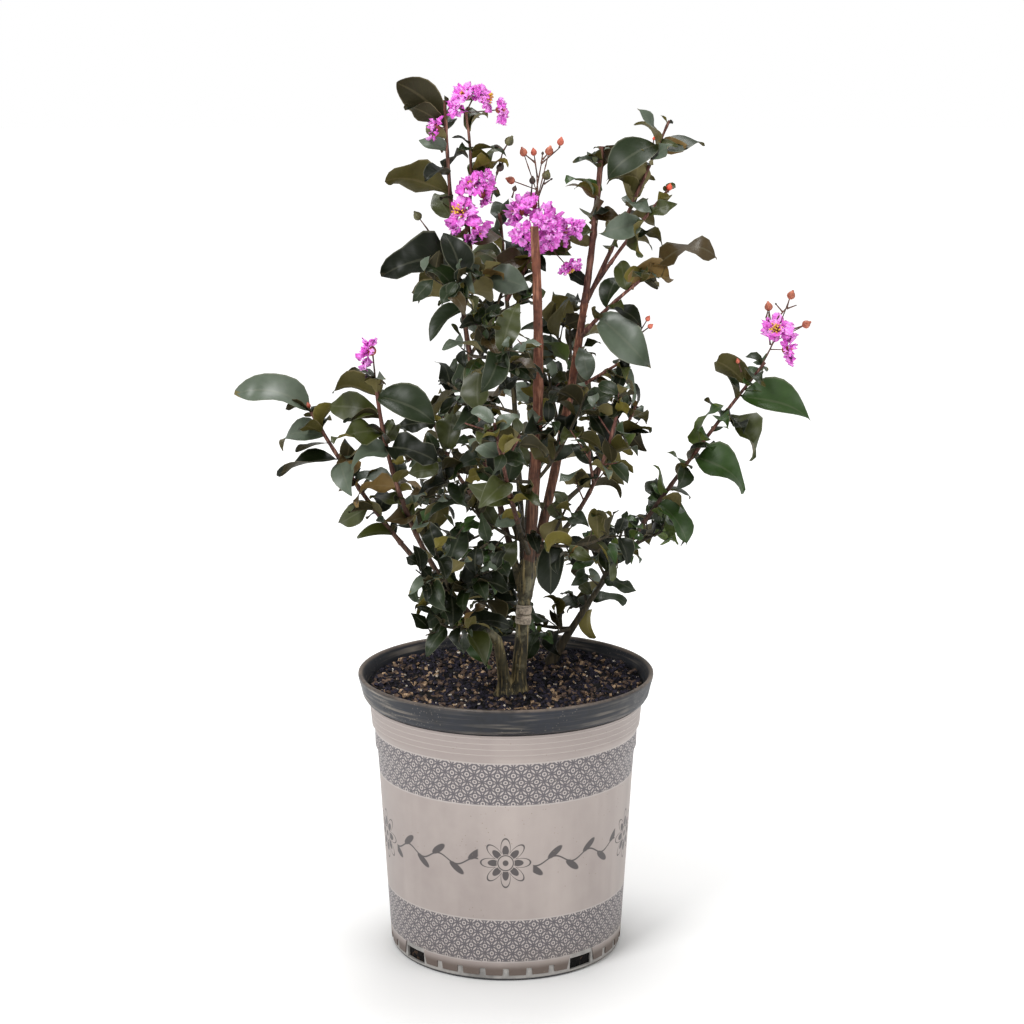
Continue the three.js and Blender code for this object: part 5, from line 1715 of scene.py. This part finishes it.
def onHeads(name, heads, shape):
    # one copy of the shape on each head, as large as the head's size
    mesh = bpy.data.meshes.new(name)
    mesh.from_pydata([tuple(head["point"] * mm) for head in heads], [], [])
    sizes = [head.get("size", head["radius"]) * mm for head in heads]
    mesh.attributes.new("size", "FLOAT", "POINT").data.foreach_set("value", sizes)
    ways = np.concatenate([head["way"] for head in heads])
    mesh.attributes.new("way", "FLOAT_VECTOR", "POINT").data.foreach_set("vector", ways)
    dots = newObject(f"{name}Points", mesh)
    finish, deep, light, seed = smallParts[name]
    addTree(dots, headTree, {
        "Shape": shape, "Seed": seed, "Material": tinyMaterial(finish, deep, light)})
    made = plainCopy(dots, name)
    bpy.data.objects.remove(shape)
    made.data.polygons.foreach_set("use_smooth", [True] * len(made.data.polygons))
    dress(made, "foliage")


stamenRule = {
    "count": 22, "turn": 2.4, "lean": (0.1, 0.9), "reach": (0.36, 0.66), "seed": 9,
    "widths": ((0, 0.018), (0.78, 0.016), (0.84, 0.065), (1.0, 0.055)),  # place along, half width
}


def stamenShape():
    # a tuft of short yellow threads with knobs on their ends
    draw = stream(stamenRule["seed"])
    points, faces = [], []
    for i in range(stamenRule["count"]):
        turn, lean = stamenRule["turn"] * i, mix(*stamenRule["lean"], draw())
        reach = mix(*stamenRule["reach"], draw())
        way = vec((math.sin(lean) * math.cos(turn), math.sin(lean) * math.sin(turn), math.cos(lean)))
        a = unit(cross(way, vec((0.3, 0.9, 0.1))))
        b = cross(way, a)
        base = len(points)
        for s, width in stamenRule["widths"]:
            points += [way * reach * s + (a * math.cos(2.1 * q) + b * math.sin(2.1 * q)) * width
                       for q in range(3)]
        for row in range(base, base + 9, 3):
            faces += [(row + q, row + (q + 1) % 3, row + 3 + (q + 1) % 3, row + 3 + q) for q in range(3)]
        faces += [(base + 2, base + 1, base), (base + 9, base + 10, base + 11)]
    return solid("stamenShape", points, faces, [])


# Sprigs that the solids leave out: foot and tip of each stalk, the radius of its bud, and its tone.
sprigs = [
    ((22, 14, 603), (28, 14, 636), 0, "dark"), ((28, 14, 636), (42, 14, 648), 0, "dark"),
    ((42, 14, 648), (43, 14, 653), 3.2, "red"), ((25, 14, 625), (22, 12, 645), 2.9, "red"),
    ((23, 13, 637), (14, 14, 644), 0, "dark"), ((28, 14, 636), (29, 14, 644), 1.3, "dark"),
    ((29, 14, 639), (34, 14, 645), 0, "dark"), ((25, 14, 608), (32, 14, 627), 3.8, "green"),
    ((30, 14, 620), (36, 14, 624), 1.0, "dark"), ((20, 14, 611), (21, 14, 623), 3.0, "dark"),
    ((-12, -4, 606), (-7, -4, 628), 0, "dark"), ((-7, -4, 628), (-4, -4, 634), 3.6, "dark"),
    ((-11, -4, 620), (-16, -4, 635), 0, "dark"), ((-7, -4, 629), (-2, -4, 646), 0, "dark"),
    ((-2, -4, 646), (3, -4, 654), 3.9, "green"), ((-2, -4, 647), (-7, -4, 650), 1.7, "dark"),
    ((5, 4, 610), (7, 4, 617), 2.2, "dark"), ((-49, 2, 645), (-59, 2, 662), 3.7, "green"),
    ((-55, 4, 577), (-69, 4, 596), 3.7, "green"), ((-59, 4, 582), (-70, 4, 579), 0, "dark"),
    ((100, -2, 496), (112, -2, 516), 2.3, "red"), ((106, -2, 504), (114, -2, 510), 2.3, "red"),
    ((115, 30, 637), (117, 30, 655), 1.4, "bright"), ((127, 5, 614), (128, 5, 618), 2.6, "bright"),
    ((214, 40, 490), (210, 40, 512), 0, "dark"), ((210, 40, 512), (212, 41, 520), 0, "dark"),
    ((212, 40, 502), (220, 42, 512), 0, "dark"), ((220, 42, 512), (227, 44, 520), 0, "dark"),
    ((227, 44, 520), (229, 38, 530), 0, "dark"), ((224, 43, 516), (218, 43, 523), 0.9, "dark"),
    ((227, 44, 519), (235, 44, 522), 0, "dark"), ((222, 40, 499), (241, 35, 507), 0, "dark"),
    ((212, 40, 505), (212, 38, 517), 0, "dark"), ((-150, -50, 447), (-152, -50, 454), 2.2, "red"),
    ((191, 40, 468), (188, 40, 477), 2.0, "red"),
]


# Loose florets that fill out the clusters: middle, way and radius.
florets = [
    ((11, -10, 584), (-0.3, -0.9, 0.1), 8.5), ((28, -10, 593), (0.1, -0.9, 0.4), 8.5),
    ((38, -12, 588), (0.3, -0.9, -0.1), 8), ((54, -6, 588), (0.6, -0.6, 0.5), 8.5),
    ((34, -10, 577), (0.2, -0.8, -0.6), 9), ((17, -6, 605), (-0.2, -0.7, 0.7), 8.5),
    ((-39, -6, 680), (-0.7, -0.6, -0.3), 8), ((-22, -8, 690), (0.1, -0.8, 0.6), 8),
    ((55, 5, 558), (0.5, -0.6, -0.6), 7), ((-16, -16, 626), (0.3, -0.7, 0.6), 8),
    ((-38, -18, 589), (-0.6, -0.6, -0.5), 7.5),
]


budOutline = [(0, -1.0), (0.45, -0.9), (0.84, -0.45), (0.88, 0.05), (0.62, 0.6), (0.3, 0.9), (0.2, 1.2),
              (0, 1.24)]
cupOutline = [(0, -0.42), (0.16, -0.36), (0.27, -0.2), (0.3, 0.0), (0.2, 0.06), (0, 0.08)]
lobeDepth = {"bud": 0.07, "cup": 0.12}
sprigThick = (1.4, 0.9)
smallParts = {  # material, its tones, and the seed that turns the copies
    "stamens": ("stamenGold", "#d18a1a", "#fbdf5c", 4), "calyxes": ("calyxRed", "#6b3426", "#a9573d", 5),
    "capsules": ("capsuleBrown", "#7a3a28", "#c2745a", 6), "redBuds": ("redBud", "#8f3f2c", "#d0705a", 20),
    "greenBuds": ("greenBud", "#2c2c1b", "#6b6843", 21), "darkBuds": ("darkBud", "#1f1814", "#4a3c31", 22),
    "brightBuds": ("brightBud", "#c02a1c", "#ee6a4c", 23),
}


def makeSprigs():
    # their buds by tone; their stalks are handed back
    for tone in ("red", "green", "dark", "bright"):
        buds = [{"point": vec(tip), "way": unit(vec(tip) - vec(foot)), "radius": radius}
                for foot, tip, radius, kind in sprigs if radius and kind == tone]
        onHeads(f"{tone}Buds", buds, turnedShape("bud", budOutline, lobeDepth["bud"]))
    return [Stem(foot, tip, (0, 0, 0), *sprigThick) for foot, tip, radius, kind in sprigs]


def makeFlowers():
    heads = [head for plant in plants.values() for head in plant["heads"]]
    flowers = [head for head in heads if head["radius"] >= flowerRule["pod"]]
    pods = [head for head in heads if head["radius"] < flowerRule["pod"]]
    makePetals(flowers + [{"point": vec(spot), "way": unit(vec(way)), "radius": radius}
                          for spot, way, radius in florets])
    tufts = [{**head, "size": flowerShape["stamenSize"][i in flowerShape["open"]] * head["radius"]}
             for i, head in enumerate(flowers)]
    onHeads("stamens", tufts, stamenShape())
    onHeads("calyxes", flowers, turnedShape("cup", cupOutline, lobeDepth["cup"]))
    onHeads("capsules", pods, turnedShape("capsule", budOutline, lobeDepth["bud"]))
    slim, step = flowerShape["slim"], flowerShape["stalkStep"]
    stalks = [stemPath(stem, 0, 1, step, lambda t, stem=stem: -slim * stem.radius(t))
              for plant in plants.values() for stem in plant["stalks"]]
    stalks += [stemPath(stem, 0, 1, step) for stem in makeSprigs()]
    material = tinyMaterial("stalkBrown", "#33251f", "#6e4b3d", 0.7)
    dress(sweep("flowerStalks", stalks, material, "stalk"), "foliage")


makeFlowers()
print("flowers are open")
